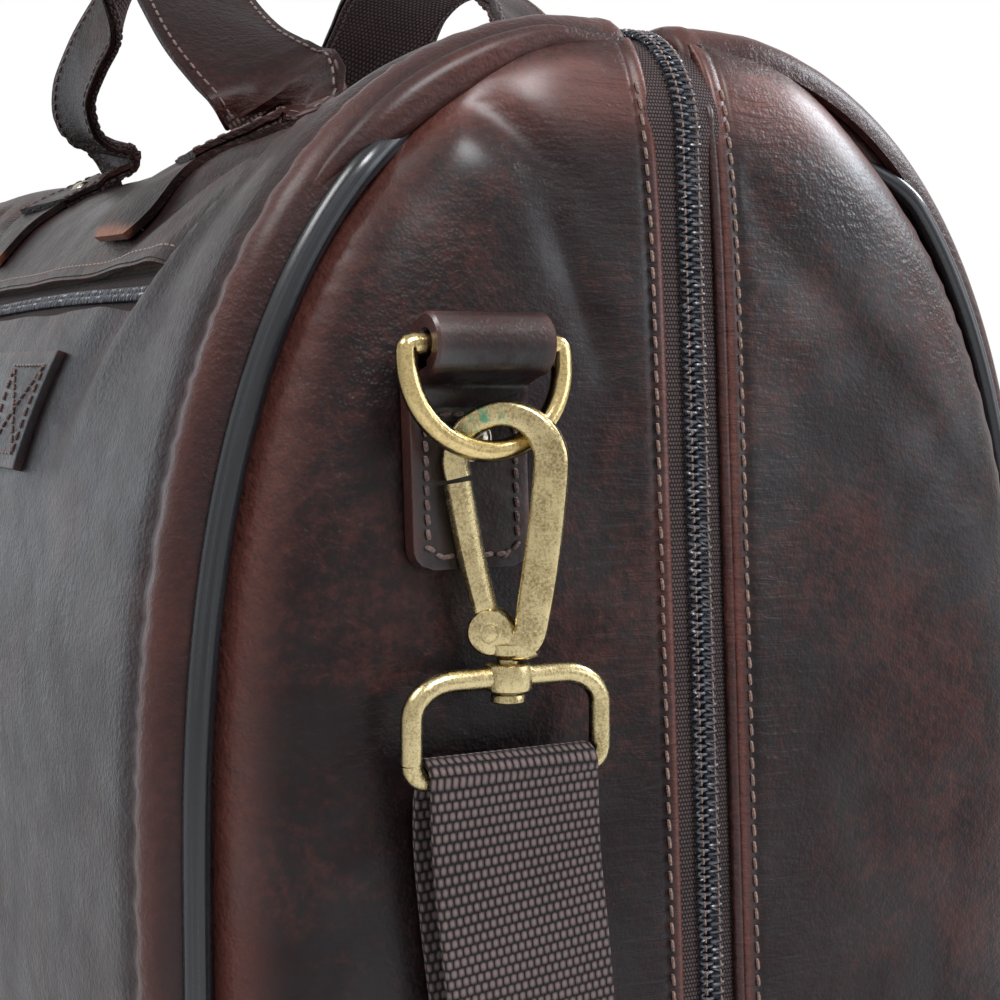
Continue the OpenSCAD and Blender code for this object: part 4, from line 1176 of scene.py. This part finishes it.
def make_rivets():
    y = 45.0
    slope = math.atan2(float(roof_z(y - 5) - roof_z(y + 5)), 10.0)
    caps = []
    for sx in (-1, 1):
        for sy in (-1, 1):
            n = np.array([0, sy * math.sin(slope), math.cos(slope)])
            caps.append(rivet_cap(f"cap{sx}{sy}", np.array([sx * 83, sy * y, roof_z(y)]) + n * 5.6, n, 4.8, 2.6))
    finish(join("handle_rivet_caps", caps), palette()["rivet"], "rivet", replaces=("handle_rivets",))


def make_front_strap():
    """Strap sewn flat on the front wall, with a boxed cross of stitches at each end."""
    m = palette()
    half_l, half_w, middle = 97.0, 15.5, 199.0

    def on_strap(x, z, lift):
        return points(x, -wall_y(z, x, -lift - 0.5 * hash_wave(x / 40, z / 30, 2)), z)

    def place(u, v):
        up = (2 * v - 1) * half_w
        skew = np.where(u > 0.5, (u - 0.5) * 2 * (up / half_w) * 5.5, (0.5 - u) * 2 * (-up / half_w) * 5.5)
        return on_strap((2 * u - 1) * half_l + skew, middle + up, 5.2)

    obj = break_edges(thicken(lay("front_strap_leather", 110, 14, place), DOUBLE_T), 0.6, 2)
    rub(obj, lambda x, y, z: 0.5 * hump(np.abs(z - middle), half_w, 1.6))
    finish(obj, m["patch"], "strap_leather", replaces=("front_strap",))
    line = np.linspace(0, 1, 24)
    runs = []
    for k in (-1, 1):
        a, b, c, d = k * 91.0, k * 62.0, middle - 11.5, middle + 11.5
        for z1, z2, x1, x2 in ((c, d, a, a), (c, d, b, b), (c, c, a, b), (d, d, a, b), (c, d, a, b), (d, c, a, b)):
            z, x = z1 + (z2 - z1) * line, x1 + (x2 - x1) * line
            x = x + k * (z - middle) / half_w * 5.0 * (np.abs(x) > 75)
            runs.append((on_strap(x, z, 5.4), [0, -0.97, 0.25]))
    finish(stitches("front_strap_sewing", runs, pitch=3.4, length=2.7, thick=0.75), m["dark_thread"], "strap_leather")


# End hardware

TAB_X = HALF_L + float(crown(RING_Z)) + 0.3
PIVOT_X = TAB_X + 12.2
RING_DROP, RING_HALF = 21.0, 17.0
RING_TILT = math.radians(7)
HANG_X = PIVOT_X + RING_DROP * math.sin(RING_TILT)
HOOK_TOP = RING_Z - RING_DROP * math.cos(RING_TILT) + 2 + 4.6 + 3.4
HOOK_BASE = HOOK_TOP - 50.6
HOOK_R = 10.2
EYE_Z = HOOK_TOP - HOOK_R - 2.3
COLLAR_Z = HOOK_BASE - 4
BAR_Z = COLLAR_Z - 19
HOOK_TURN = math.radians(36)
HOOK_OUT = (math.cos(HOOK_TURN), -math.sin(HOOK_TURN), 0)
GATE_A, GATE_Z = -3.2, HOOK_BASE + 5
END_LEAN = math.atan2(12, 190)
WIRE_R = 2.2


def hook_point(a, z, out=0.0):
    """Point in the hook's own plane: a is to the rear, out is away from the panel."""
    c, s = HOOK_OUT[0], -HOOK_OUT[1]
    return points(HANG_X + a * s + out * c, HANG_Y + a * c - out * s, z)


def post_point(r, g, h):
    return points(HANG_X + r * np.cos(g), HANG_Y + r * np.sin(g), h)


def boss_point(r, g, h):
    return hook_point(GATE_A + r * np.cos(g), GATE_Z + r * np.sin(g), h)


def make_ring_tab():
    """Leather tab: a roll round the ring's bar and a plate of two layers, sewn round its edge."""
    m = palette()
    c, s = math.cos(END_LEAN), math.sin(END_LEAN)
    half_w, low, top, corner = 13.0, -45.0, -5.0, 4.5

    def on_plate(out, y, z):
        return points(TAB_X + out * c - z * s, TAB_Y + y, RING_Z + z * c + out * s)

    def plate(u, v):
        z = low + (top - low) * v
        d = np.clip(corner - (z - low), 0, corner)
        half = half_w - (corner - np.sqrt(corner ** 2 - d ** 2))
        return on_plate(4.6 + 0.25 * hash_wave(u * 3, v * 3, 4), (2 * u - 1) * half, z)

    def band(name, line, width, thick, cols, edge):
        return sweep(name, line, strap_section(width, thick, cols, edge), (0, 1, 0))

    def bent(*guides):
        """Line across the tab's depth, from (x, z) guides beside the ring's pivot or the plate's foot."""
        x, z = np.array(guides, float).T
        return spline(points(x, TAB_Y, RING_Z + z), 14)

    base = break_edges(thicken(lay("tab_plate", 20, 34, plate), DOUBLE_T), 0.7, 3)
    g = np.linspace(math.radians(-150), math.radians(118), 34) + math.pi / 2 - 0.3
    roll = band("tab_roll", points(PIVOT_X + 4.45 * np.cos(g), TAB_Y, RING_Z + 4.45 * np.sin(g)), 26, 3.7, 12, 0.6)
    neck = band("tab_neck", bent((PIVOT_X + 1.0, -5.0), (PIVOT_X - 2.5, -6.0), (PIVOT_X - 5.5, -7.6),
                                 (TAB_X + 5.2, -12)), 25.6, 2.2, 12, 0.5)
    back = band("tab_back", bent((PIVOT_X - 2.0, 4.6), (PIVOT_X - 6, 3.2), (TAB_X + 3.2, -1.5),
                                 (TAB_X + 2.2, -9)), 25.6, 2.2, 12, 0.5)
    tab = join("ring_tab_right_leather", [base, roll, neck, back])
    rub(tab, lambda x, y, z: 0.75 * hump(np.abs(y - TAB_Y), 13, 1.6) + 0.4 * hump(z, 218, 3.5))
    side, foot_z, head_z, turn = 10.0, -42.2, -14.0, 3
    z = np.linspace(foot_z + turn, head_z, 40)
    y = np.linspace(turn - side, side - turn, 40)
    g = np.linspace(0, math.pi / 2, 8)
    lines = []
    for k in (-1, 1):
        lines += [on_plate(4.75, k * side, z),
                  on_plate(4.75, k * (side - turn + turn * np.cos(g)), foot_z + turn - turn * np.sin(g))]
    lines += [on_plate(4.75, y, foot_z), on_plate(4.9, y * 1.4, head_z)]
    sew = stitches("ring_tab_right_sewing", [(line, [c, 0, s]) for line in lines], pitch=2.9, length=2.3, thick=1.0,
                   slant=0.15, sink=0.0)
    cap = rivet_cap("tab_rivet_right", on_plate(4.8, 0.0, -19.0), (c, 0, s), 4.6, 0.9)
    for piece, name, skin, slot_name, right, left in (
            (tab, "ring_tab_left_leather", "tab", "strap_leather", ("ring_tab_right",), ("ring_tab_left",)),
            (sew, "ring_tab_left_sewing", "dark_thread", "strap_leather", (), ()),
            (cap, "tab_rivet_left", "rivet", "rivet", ("tab_rivets",), ())):
        other = mirror_copy(piece, name, 0)
        finish(piece, m[skin], slot_name, replaces=right)
        finish(other, m[skin], slot_name, replaces=left)


def make_ring():
    """D ring, with its straight bar in the tab; its outward face stays bright and the half of its wire towards the
    panel is darkened as painted shade.
    """
    g, turn, small = np.linspace(0, math.pi, 40), np.linspace(0, math.pi / 2, 6), 1.4
    arc = np.stack([RING_HALF * np.cos(g), RING_HALF - RING_DROP - RING_HALF * np.sin(g)], axis=1)
    corner = np.stack([small - RING_HALF - small * np.cos(turn), small * np.sin(turn) - small], axis=1)
    bar = np.stack([np.linspace(2.2 - RING_HALF, RING_HALF - 2.2, 10), np.zeros(10)], axis=1)
    line = np.vstack([arc, corner, bar, (corner * [-1, 1])[::-1]])
    y, z = even(np.vstack([line, line[:1]]), 121).T
    s, c = math.sin(RING_TILT), math.cos(RING_TILT)
    wire = sweep("ring_right_wire", points(PIVOT_X - z * s, TAB_Y + y, RING_Z + z * c), round_section(WIRE_R, 20),
                 wide=(c, 0, s), closed=True)
    # Painted shade: darker towards the side of the wire that faces the panel
    return rub(wire, lambda x, y, z: 1.05 - ((x - PIVOT_X) * c + (z - RING_Z) * s) / 1.8, "tarnish")


def make_hook():
    """Trigger hook: a cast eye and arm with cut corners, a round boss at the gate's pivot and a turned stem."""
    g = np.radians(np.linspace(200, 0, 40))
    eye = HOOK_R - 0.75
    arc = np.stack([eye * np.cos(g) - 0.9, EYE_Z + 0.4 + eye * np.sin(g)], axis=1)
    arm = [(8.2, EYE_Z - 5), (7.4, EYE_Z - 13), (6.4, EYE_Z - 21), (5.3, EYE_Z - 28), (4.4, HOOK_BASE + 5.0),
           (3.0, HOOK_BASE + 3.0), (1.2, HOOK_BASE + 2.4)]
    flat = spline(np.vstack([arc[::3], arm]), 96)
    k = np.linspace(0, 1, len(flat))
    grow = 0.93 + 0.32 * smooth((k - 0.25) / 0.25) - 0.1 * smooth((k - 0.8) / 0.2)
    body = sweep("hook_arm", hook_point(*flat.T), faceted(2.75, 2.7, 0.95), wide=HOOK_OUT,
                 scale=np.stack([0.98 + 0 * grow, grow], axis=1))
    cheek = [(0.05, 3.0), (3.5, 3.0), (4.3, 2.7), (4.75, 2.0), (4.75, 1.6), (0.05, 1.6)]
    front = turned("hook_cheek_front", cheek, boss_point, 32)
    back = turned("hook_cheek_back", [(r, -h) for r, h in cheek], boss_point, 32)
    pin = turned("hook_pin", [(0.05, 3.5), (1.0, 3.45), (1.5, 3.25), (1.6, 2.9), (1.6, 2.4)], boss_point, 20)
    groove = [(1.75, 3.02), (1.95, 3.12), (2.15, 3.02), (1.95, 2.8), (1.75, 3.02)]
    ring = turned("hook_pin_ring", groove, boss_point, 24, closed=True)
    web_line = spline([(GATE_A - 0.5, GATE_Z - 0.6), (-0.5, HOOK_BASE + 2.6), (2.4, HOOK_BASE + 2.5),
                       (5.0, HOOK_BASE + 3.4)], 12)
    web = sweep("hook_web", hook_point(*web_line.T), faceted(2.75, 3.1, 1.1), wide=HOOK_OUT)
    stem = turned("hook_stem", [
        (3.7, HOOK_BASE + 2.6), (3.6, HOOK_BASE + 0.6), (2.6, HOOK_BASE - 0.1), (2.2, HOOK_BASE - 0.5),
        (2.2, COLLAR_Z - 3.3), (3.3, COLLAR_Z - 3.4), (3.5, COLLAR_Z - 3.8), (3.5, COLLAR_Z - 4.8),
        (3.2, COLLAR_Z - 5.1), (0.05, COLLAR_Z - 5.2)], post_point)
    return join("hook_right_cast", [face_out(o) for o in (body, front, back, pin, ring, web, stem)])


def make_gate():
    """Sprung gate: a bar with a ridge that meets the eye's tip."""
    low, tip = np.array([GATE_A - 0.2, GATE_Z]), np.array([0.2 - HOOK_R, EYE_Z - 3.8])
    k = np.linspace(0, 1, 24)
    line = low + (tip - low) * k[:, None]
    line[:, 0] -= 0.5 * np.sin(math.pi * k)
    bar = sweep("gate_bar", hook_point(*line.T), faceted(2.3, 2.6, 1.3), wide=HOOK_OUT,
                scale=np.stack([0.6 + 0.4 * smooth((k - 0.06) / 0.1), 0.95 + 0.1 * k], axis=1))
    return join("gate_right_bar", [face_out(bar)])


def make_frame():
    """Rectangular wire frame with the collar that the stem turns in."""
    half, drop, corner = 21.1, 19.0, 3.4
    low, high = np.radians(np.linspace(270, 360, 12)), np.radians(np.linspace(0, 90, 14))
    foot_turn = np.stack([half - corner + corner * np.cos(low), corner - drop + corner * np.sin(low)], axis=1)
    shoulder = np.stack([half - 9 + 9 * np.cos(high), 7 * np.sin(high) - 7], axis=1)
    over = (shoulder * [-1, 1])[::-1]
    under = (foot_turn * [-1, 1])[::-1]
    full = np.vstack([under, foot_turn, shoulder, [(0, 0)], over, under[:1]])
    y, z = even(full, 161).T
    wire = sweep("frame_wire", points(HANG_X, HANG_Y + y, COLLAR_Z + z), round_section(WIRE_R, 18), wide=(1, 0, 0),
                 closed=True)
    # Painted shade: the frame wire darkens towards its side that faces the panel
    rub(wire, lambda x, y, z: 0.75 - (x - HANG_X) / 2.0, "tarnish")
    profile = np.array([(2.26, 2.9), (3.9, 2.9), (4.6, 2.5), (4.8, 1.8), (4.8, -1.8), (4.6, -2.5), (3.9, -2.9),
                        (2.26, -2.9), (2.26, 2.9)])
    band = turned("frame_collar", profile + [0, COLLAR_Z], post_point, 32, closed=True)
    return join("frame_right_wire", [face_out(wire), face_out(band)])


# Shoulder strap

WEB_W, WEB_T = 37, 1.8
RUN_Y = 119.9  # middle of the webbing behind the bag


def make_drop():
    """Webbing from the sewn end behind, over the frame's bar and down to the floor run."""
    r = WIRE_R + 0.4 + WEB_T / 2
    g = np.radians(np.linspace(200, -20, 12))
    line = np.vstack([[(247.9, 70.0), (247.6, 84.0), (246.9, 100.0), (246.6, 114.0), (247.4, 124.0)],
                      np.stack([HANG_X + r * np.cos(g), BAR_Z + r * np.sin(g)], axis=1),
                      [(HANG_X + r + x, z) for x, z in ((-0.3, 112), (0.4, 92), (0.3, 66), (0, 46), (0, 37.6))]])
    x, z = line.T
    path = spline(points(x, HANG_Y + 5.2 * smooth((BAR_Z - z) / 75), z), 110)
    return sweep("strap_drop_right_web", path, strap_section(WEB_W, WEB_T, 12, 0.3), (0, 1, 0))


def make_run():
    """Webbing on its edge from one end round the rear to the other."""
    x0, r = HANG_X + 3.5, 24.0
    g = np.radians(np.linspace(0, 90, 14))
    turn = np.stack([x0 - r + r * np.cos(g), RUN_Y - r + r * np.sin(g)], axis=1)
    half = np.vstack([[(x0, HANG_Y - WEB_W / 2), (x0, 0), (x0, RUN_Y - r - 20)], turn, [(120, RUN_Y), (40, RUN_Y)]])
    x, y = np.vstack([half, (half * [-1, 1])[::-1]]).T
    return sweep("shoulder_webbing", even(points(x, y, WEB_W / 2), 420), strap_section(WEB_W, WEB_T, 12, 0.3),
                 (0, 0, 1))


def make_strap_slide():
    """Three-bar slide: two wire plates on both sides of the webbing, joined over it by three bars."""
    parts = []
    left, middle, right = 77.0, 90.0, 103.0
    for k in (-1, 1):
        y = RUN_Y + k * 2.1
        for x in (left, right):
            parts.append(sweep(f"s{k}{x}", [(x, y, z) for z in (1.0, 14, 28, 40.0)], round_section(1.0, 10)))
        top = [(left, y, 39.6), (85, y, 39.9), (95, y, 39.9), (right, y, 39.6)]
        parts.append(sweep(f"t{k}", top, round_section(1.1, 10)))
    for x in (left, middle, right):
        bar = [(x, RUN_Y + out, z) for out, z in ((-2.4, 39.7), (-1, 39.9), (1, 39.9), (2.4, 39.7))]
        parts.append(sweep(f"b{x}", bar, round_section(1.1, 10)))
    obj = join("strap_slide_wire", parts)
    finish(obj, palette()["brass"], "brass", "strap_slide", replaces=("strap_slide",))


# Operators

def tint(name, description, default):
    return bpy.props.FloatVectorProperty(name=name, description=description, subtype="COLOR", size=3, min=0, max=1,
                                         default=default)


def turn_of(name, description, default):
    return bpy.props.FloatProperty(name=name, description=description, subtype="ANGLE", default=default)


PICTURE_MID = 500
FOCAL = 1800  # in the picture's pixels
AIM_POINT, AIM_PIXEL, AIM_DISTANCE = (220, SHIFT, 280), (655, 50), 400  # a point that the camera was fitted to


class BagFinishes(bpy.types.PropertyGroup):
    leather_brown: tint("Leather Brown", "Main tone of the body leather", (0.0118, 0.0056, 0.0062))
    leather_red: tint("Leather Red", "Tone of the reddish mottling and rubbed edges", (0.044, 0.0145, 0.011))
    brass: tint("Brass", "Bright tone of the fittings", (0.44, 0.36, 0.195))
    webbing: tint("Webbing", "Light tone of the shoulder webbing", (0.130, 0.091, 0.088))
    thread: tint("Thread", "Light tone of the sewing thread", (0.19, 0.115, 0.085))


class BagView(bpy.types.PropertyGroup):
    azimuth: turn_of("Azimuth", "Direction of the camera round the bag", math.radians(62))
    elevation: turn_of("Elevation", "Height angle of the camera", math.radians(4))
    field: turn_of("Field of View", "Angle that the picture takes in", 2 * math.atan(PICTURE_MID / FOCAL))


class BAG_OT_body(bpy.types.Operator):
    """Make the walls, the end panels, the piping and the inside"""
    bl_idname = "travel_bag.body"
    bl_label = "Body"

    def execute(self, context):
        m = palette()
        for front, word in ((True, "front"), (False, "rear")):
            finish(make_wall(front), m["wall"], "body_leather", replaces=(f"{word}_panel",), angle=60)
        for side, word in END_WORD.items():
            for rear, half in ((False, "front"), (True, "rear")):
                finish(make_end(side, rear), m["end"], "body_leather", replaces=(f"end_{word}_{half}",), angle=60)
            make_piping(side)
        make_roll_covers()
        paint(["base_panel", "zip_end_patches"], m["end"])
        paint(["lining_front", "lining_rear"], m["lining"])
        paint(["base_board"], m["board"])
        return {"FINISHED"}


class BAG_OT_zips(bpy.types.Operator):
    """Make the main zip and the pocket zip with their sewing"""
    bl_idname = "travel_bag.zips"
    bl_label = "Zips"

    def execute(self, context):
        make_zip()
        zip_facing_stitches()
        make_zip_welt()
        make_pocket()
        paint(["main_slider", "main_pull", "pocket_slider", "pocket_pull"], palette()["brass"])
        return {"FINISHED"}


class BAG_OT_handles(bpy.types.Operator):
    """Make both handles, their riveted tails and the strap on the front wall"""
    bl_idname = "travel_bag.handles"
    bl_label = "Handles"

    def execute(self, context):
        m = palette()
        for word in ("front", "rear"):
            skin, web, sew = make_handle(word == "rear")
            rub(skin, lambda x, y, z: 0.1 + 0.5 * hump(z, 281, 6))
            for o, look, slot_name, nodes in ((skin, "strap", "strap_leather", (f"{word}_handle_leather",)),
                                              (web, "handle_web", "webbing", (f"{word}_handle_webbing",)),
                                              (sew, "dark_thread", "strap_leather", ())):
                finish(o, m[look], slot_name, body=None, replaces=nodes)
                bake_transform(o)
        make_tails()
        make_rivets()
        make_front_strap()
        return {"FINISHED"}


class BAG_OT_hardware(bpy.types.Operator):
    """Make the ring tabs, rings, hooks, gates and frames on both ends"""
    bl_idname = "travel_bag.hardware"
    bl_label = "End Hardware"

    def execute(self, context):
        m = palette()
        make_ring_tab()
        for make, node, body, look in ((make_ring, "ring", "ring", "ring"), (make_hook, "hook", "hook", "hook"),
                                       (make_gate, "gate", "gate", "brass"), (make_frame, "frame", "ring", "brass")):
            right = make()
            left = mirror_copy(right, right.name.replace("right", "left"), 0)
            for o, word in ((right, "right"), (left, "left")):
                finish(o, m[look], "brass", f"{body}_{word}", replaces=(f"{node}_{word}",), angle=34)
        return {"FINISHED"}


class BAG_OT_strap(bpy.types.Operator):
    """Make the webbing drops, the run behind the bag and its slide"""
    bl_idname = "travel_bag.strap"
    bl_label = "Shoulder Strap"

    def execute(self, context):
        m = palette()
        right = make_drop()
        left = mirror_copy(right, "strap_drop_left_web", 0)
        for o, word in ((right, "right"), (left, "left")):
            finish(o, m["webbing"], "webbing", body=None, replaces=(f"strap_drop_{word}",))
            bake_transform(o)
        finish(make_run(), m["webbing"], "webbing", replaces=("shoulder_strap",))
        make_strap_slide()
        return {"FINISHED"}


def stand(obj, right, up, back, spot):
    """Sets a camera or lamp at a spot; it looks against its back direction."""
    rows = np.stack([right, up, back, spot], axis=1)
    obj.matrix_world = Matrix([*rows.tolist(), [0, 0, 0, 1]])


# Each lamp with its place and what it is aimed at in metres, its size, power and colour
LAMPS = (
    ("top light", (0.95, 0.04, 1.2), (0.2, -0.02, 0.24), (0.42, 0.38), 18, (0.96, 0.98, 1)),
    ("front light", (0.1, -0.78, 1.15), (0.1, -0.05, 0.22), (0.6, 0.3), 9, (1, 1, 1)),
    ("end light", (1.05, 1.15, 0.5), (0.22, 0.05, 0.18), (0.8, 0.6), 6, (0.84, 0.92, 1)),
    ("rear light", (0.26, 1.1, 0.92), (0.2, 0.05, 0.24), (0.55, 0.4), 15, (0.88, 0.94, 1)),
    ("left light", (-1.3, -0.95, 0.35), (-0.1, -0.1, 0.15), (1.2, 0.9), 4, (0.7, 0.85, 1)))


def add_camera(scene):
    view = scene.bag_view
    a, e = view.azimuth, view.elevation
    back = np.array([math.sin(a) * math.cos(e), -math.cos(a) * math.cos(e), math.sin(e)])
    right = np.array([math.cos(a), math.sin(a), 0])
    up = np.cross(back, right)
    focal = PICTURE_MID / math.tan(view.field / 2)
    aside = right * (AIM_PIXEL[0] - PICTURE_MID) + up * (PICTURE_MID - AIM_PIXEL[1])
    spot = (np.array(AIM_POINT) - (aside / focal - back) * AIM_DISTANCE) * MM
    bpy.ops.object.select_all(action="DESELECT")
    bpy.ops.object.camera_add(location=tuple(spot))
    cam = scene.camera = bpy.context.object
    stand(cam, right, up, back, spot)
    cam.data.sensor_fit = "HORIZONTAL"
    cam.data.angle = view.field
    cam.data.clip_start = 0.01


def add_floor():
    """Floor that keeps the shadow close by and gives way to white further out, where it is seen."""
    bpy.ops.mesh.primitive_plane_add(size=12, location=(0, 0, -0.0005))
    floor = bpy.context.object
    floor.name = "floor"
    r = Recipe("floor")
    x, y = r.axes(r.place())[:2]
    far = r.ramp(x * x + y * y, 0.3, 1.6) * r.seen()
    floor.data.materials.append(r.surface(far=far, Base_Color=(0.8, 0.8, 0.8), Roughness=0.9))


def add_world(scene):
    """White where it is seen and plain low light elsewhere."""
    world = scene.world = bpy.data.worlds.new("studio")
    world.use_nodes = True
    r = Recipe("studio", world.node_tree)
    low, high = (r.node("ShaderNodeBackground", {}, {"Color": colour, "Strength": strength}).outputs[0]
                 for colour, strength in (((0.9, 0.94, 1), 0.45), ((1, 1, 1), 1.0)))
    r.blend(r.seen(), low, high, "ShaderNodeOutputWorld")


def add_lamps():
    for name, place, aim, size, power, colour in LAMPS:
        bpy.ops.object.light_add(type="AREA", location=place)
        lamp = bpy.context.object
        lamp.name = name
        lamp.data.shape = "RECTANGLE"
        lamp.data.size, lamp.data.size_y = size
        lamp.data.energy = power
        lamp.data.color = colour
        back = unit(np.array(place) - np.array(aim))
        right = unit(np.cross([0, 0, 1.0], back))
        stand(lamp, right, np.cross(back, right), back, place)


class BAG_OT_stage(bpy.types.Operator):
    """Set the camera, the floor, the surroundings and the lights"""
    bl_idname = "travel_bag.stage"
    bl_label = "Stage"

    def execute(self, context):
        add_camera(context.scene)
        add_floor()
        add_world(context.scene)
        add_lamps()
        context.scene.view_settings.view_transform = "Standard"
        return {"FINISHED"}


class BAG_PT_panel(bpy.types.Panel):
    """Lists the finishes, the view and the steps of the travel bag"""
    bl_label = "Travel Bag"
    bl_idname = "BAG_PT_panel"
    bl_space_type = "VIEW_3D"
    bl_region_type = "UI"
    bl_category = "Travel Bag"

    def draw(self, context):
        for group in (context.scene.bag_finishes, context.scene.bag_view):
            for key in group.__annotations__:
                self.layout.prop(group, key)
        for name in STEPS:
            self.layout.operator(f"travel_bag.{name}")


STEPS = ("stage", "body", "zips", "handles", "hardware", "strap")
CLASSES = (BagFinishes, BagView, BAG_OT_body, BAG_OT_zips, BAG_OT_handles, BAG_OT_hardware, BAG_OT_strap,
           BAG_OT_stage, BAG_PT_panel)


def register():
    for c in CLASSES:
        bpy.utils.register_class(c)
    bpy.types.Scene.bag_finishes = bpy.props.PointerProperty(type=BagFinishes)
    bpy.types.Scene.bag_view = bpy.props.PointerProperty(type=BagView)


def unregister():
    del bpy.types.Scene.bag_view
    del bpy.types.Scene.bag_finishes
    for c in reversed(CLASSES):
        bpy.utils.unregister_class(c)


def main():
    register()
    for name in STEPS:
        getattr(bpy.ops.travel_bag, name)()


if __name__ == "__main__":
    main()
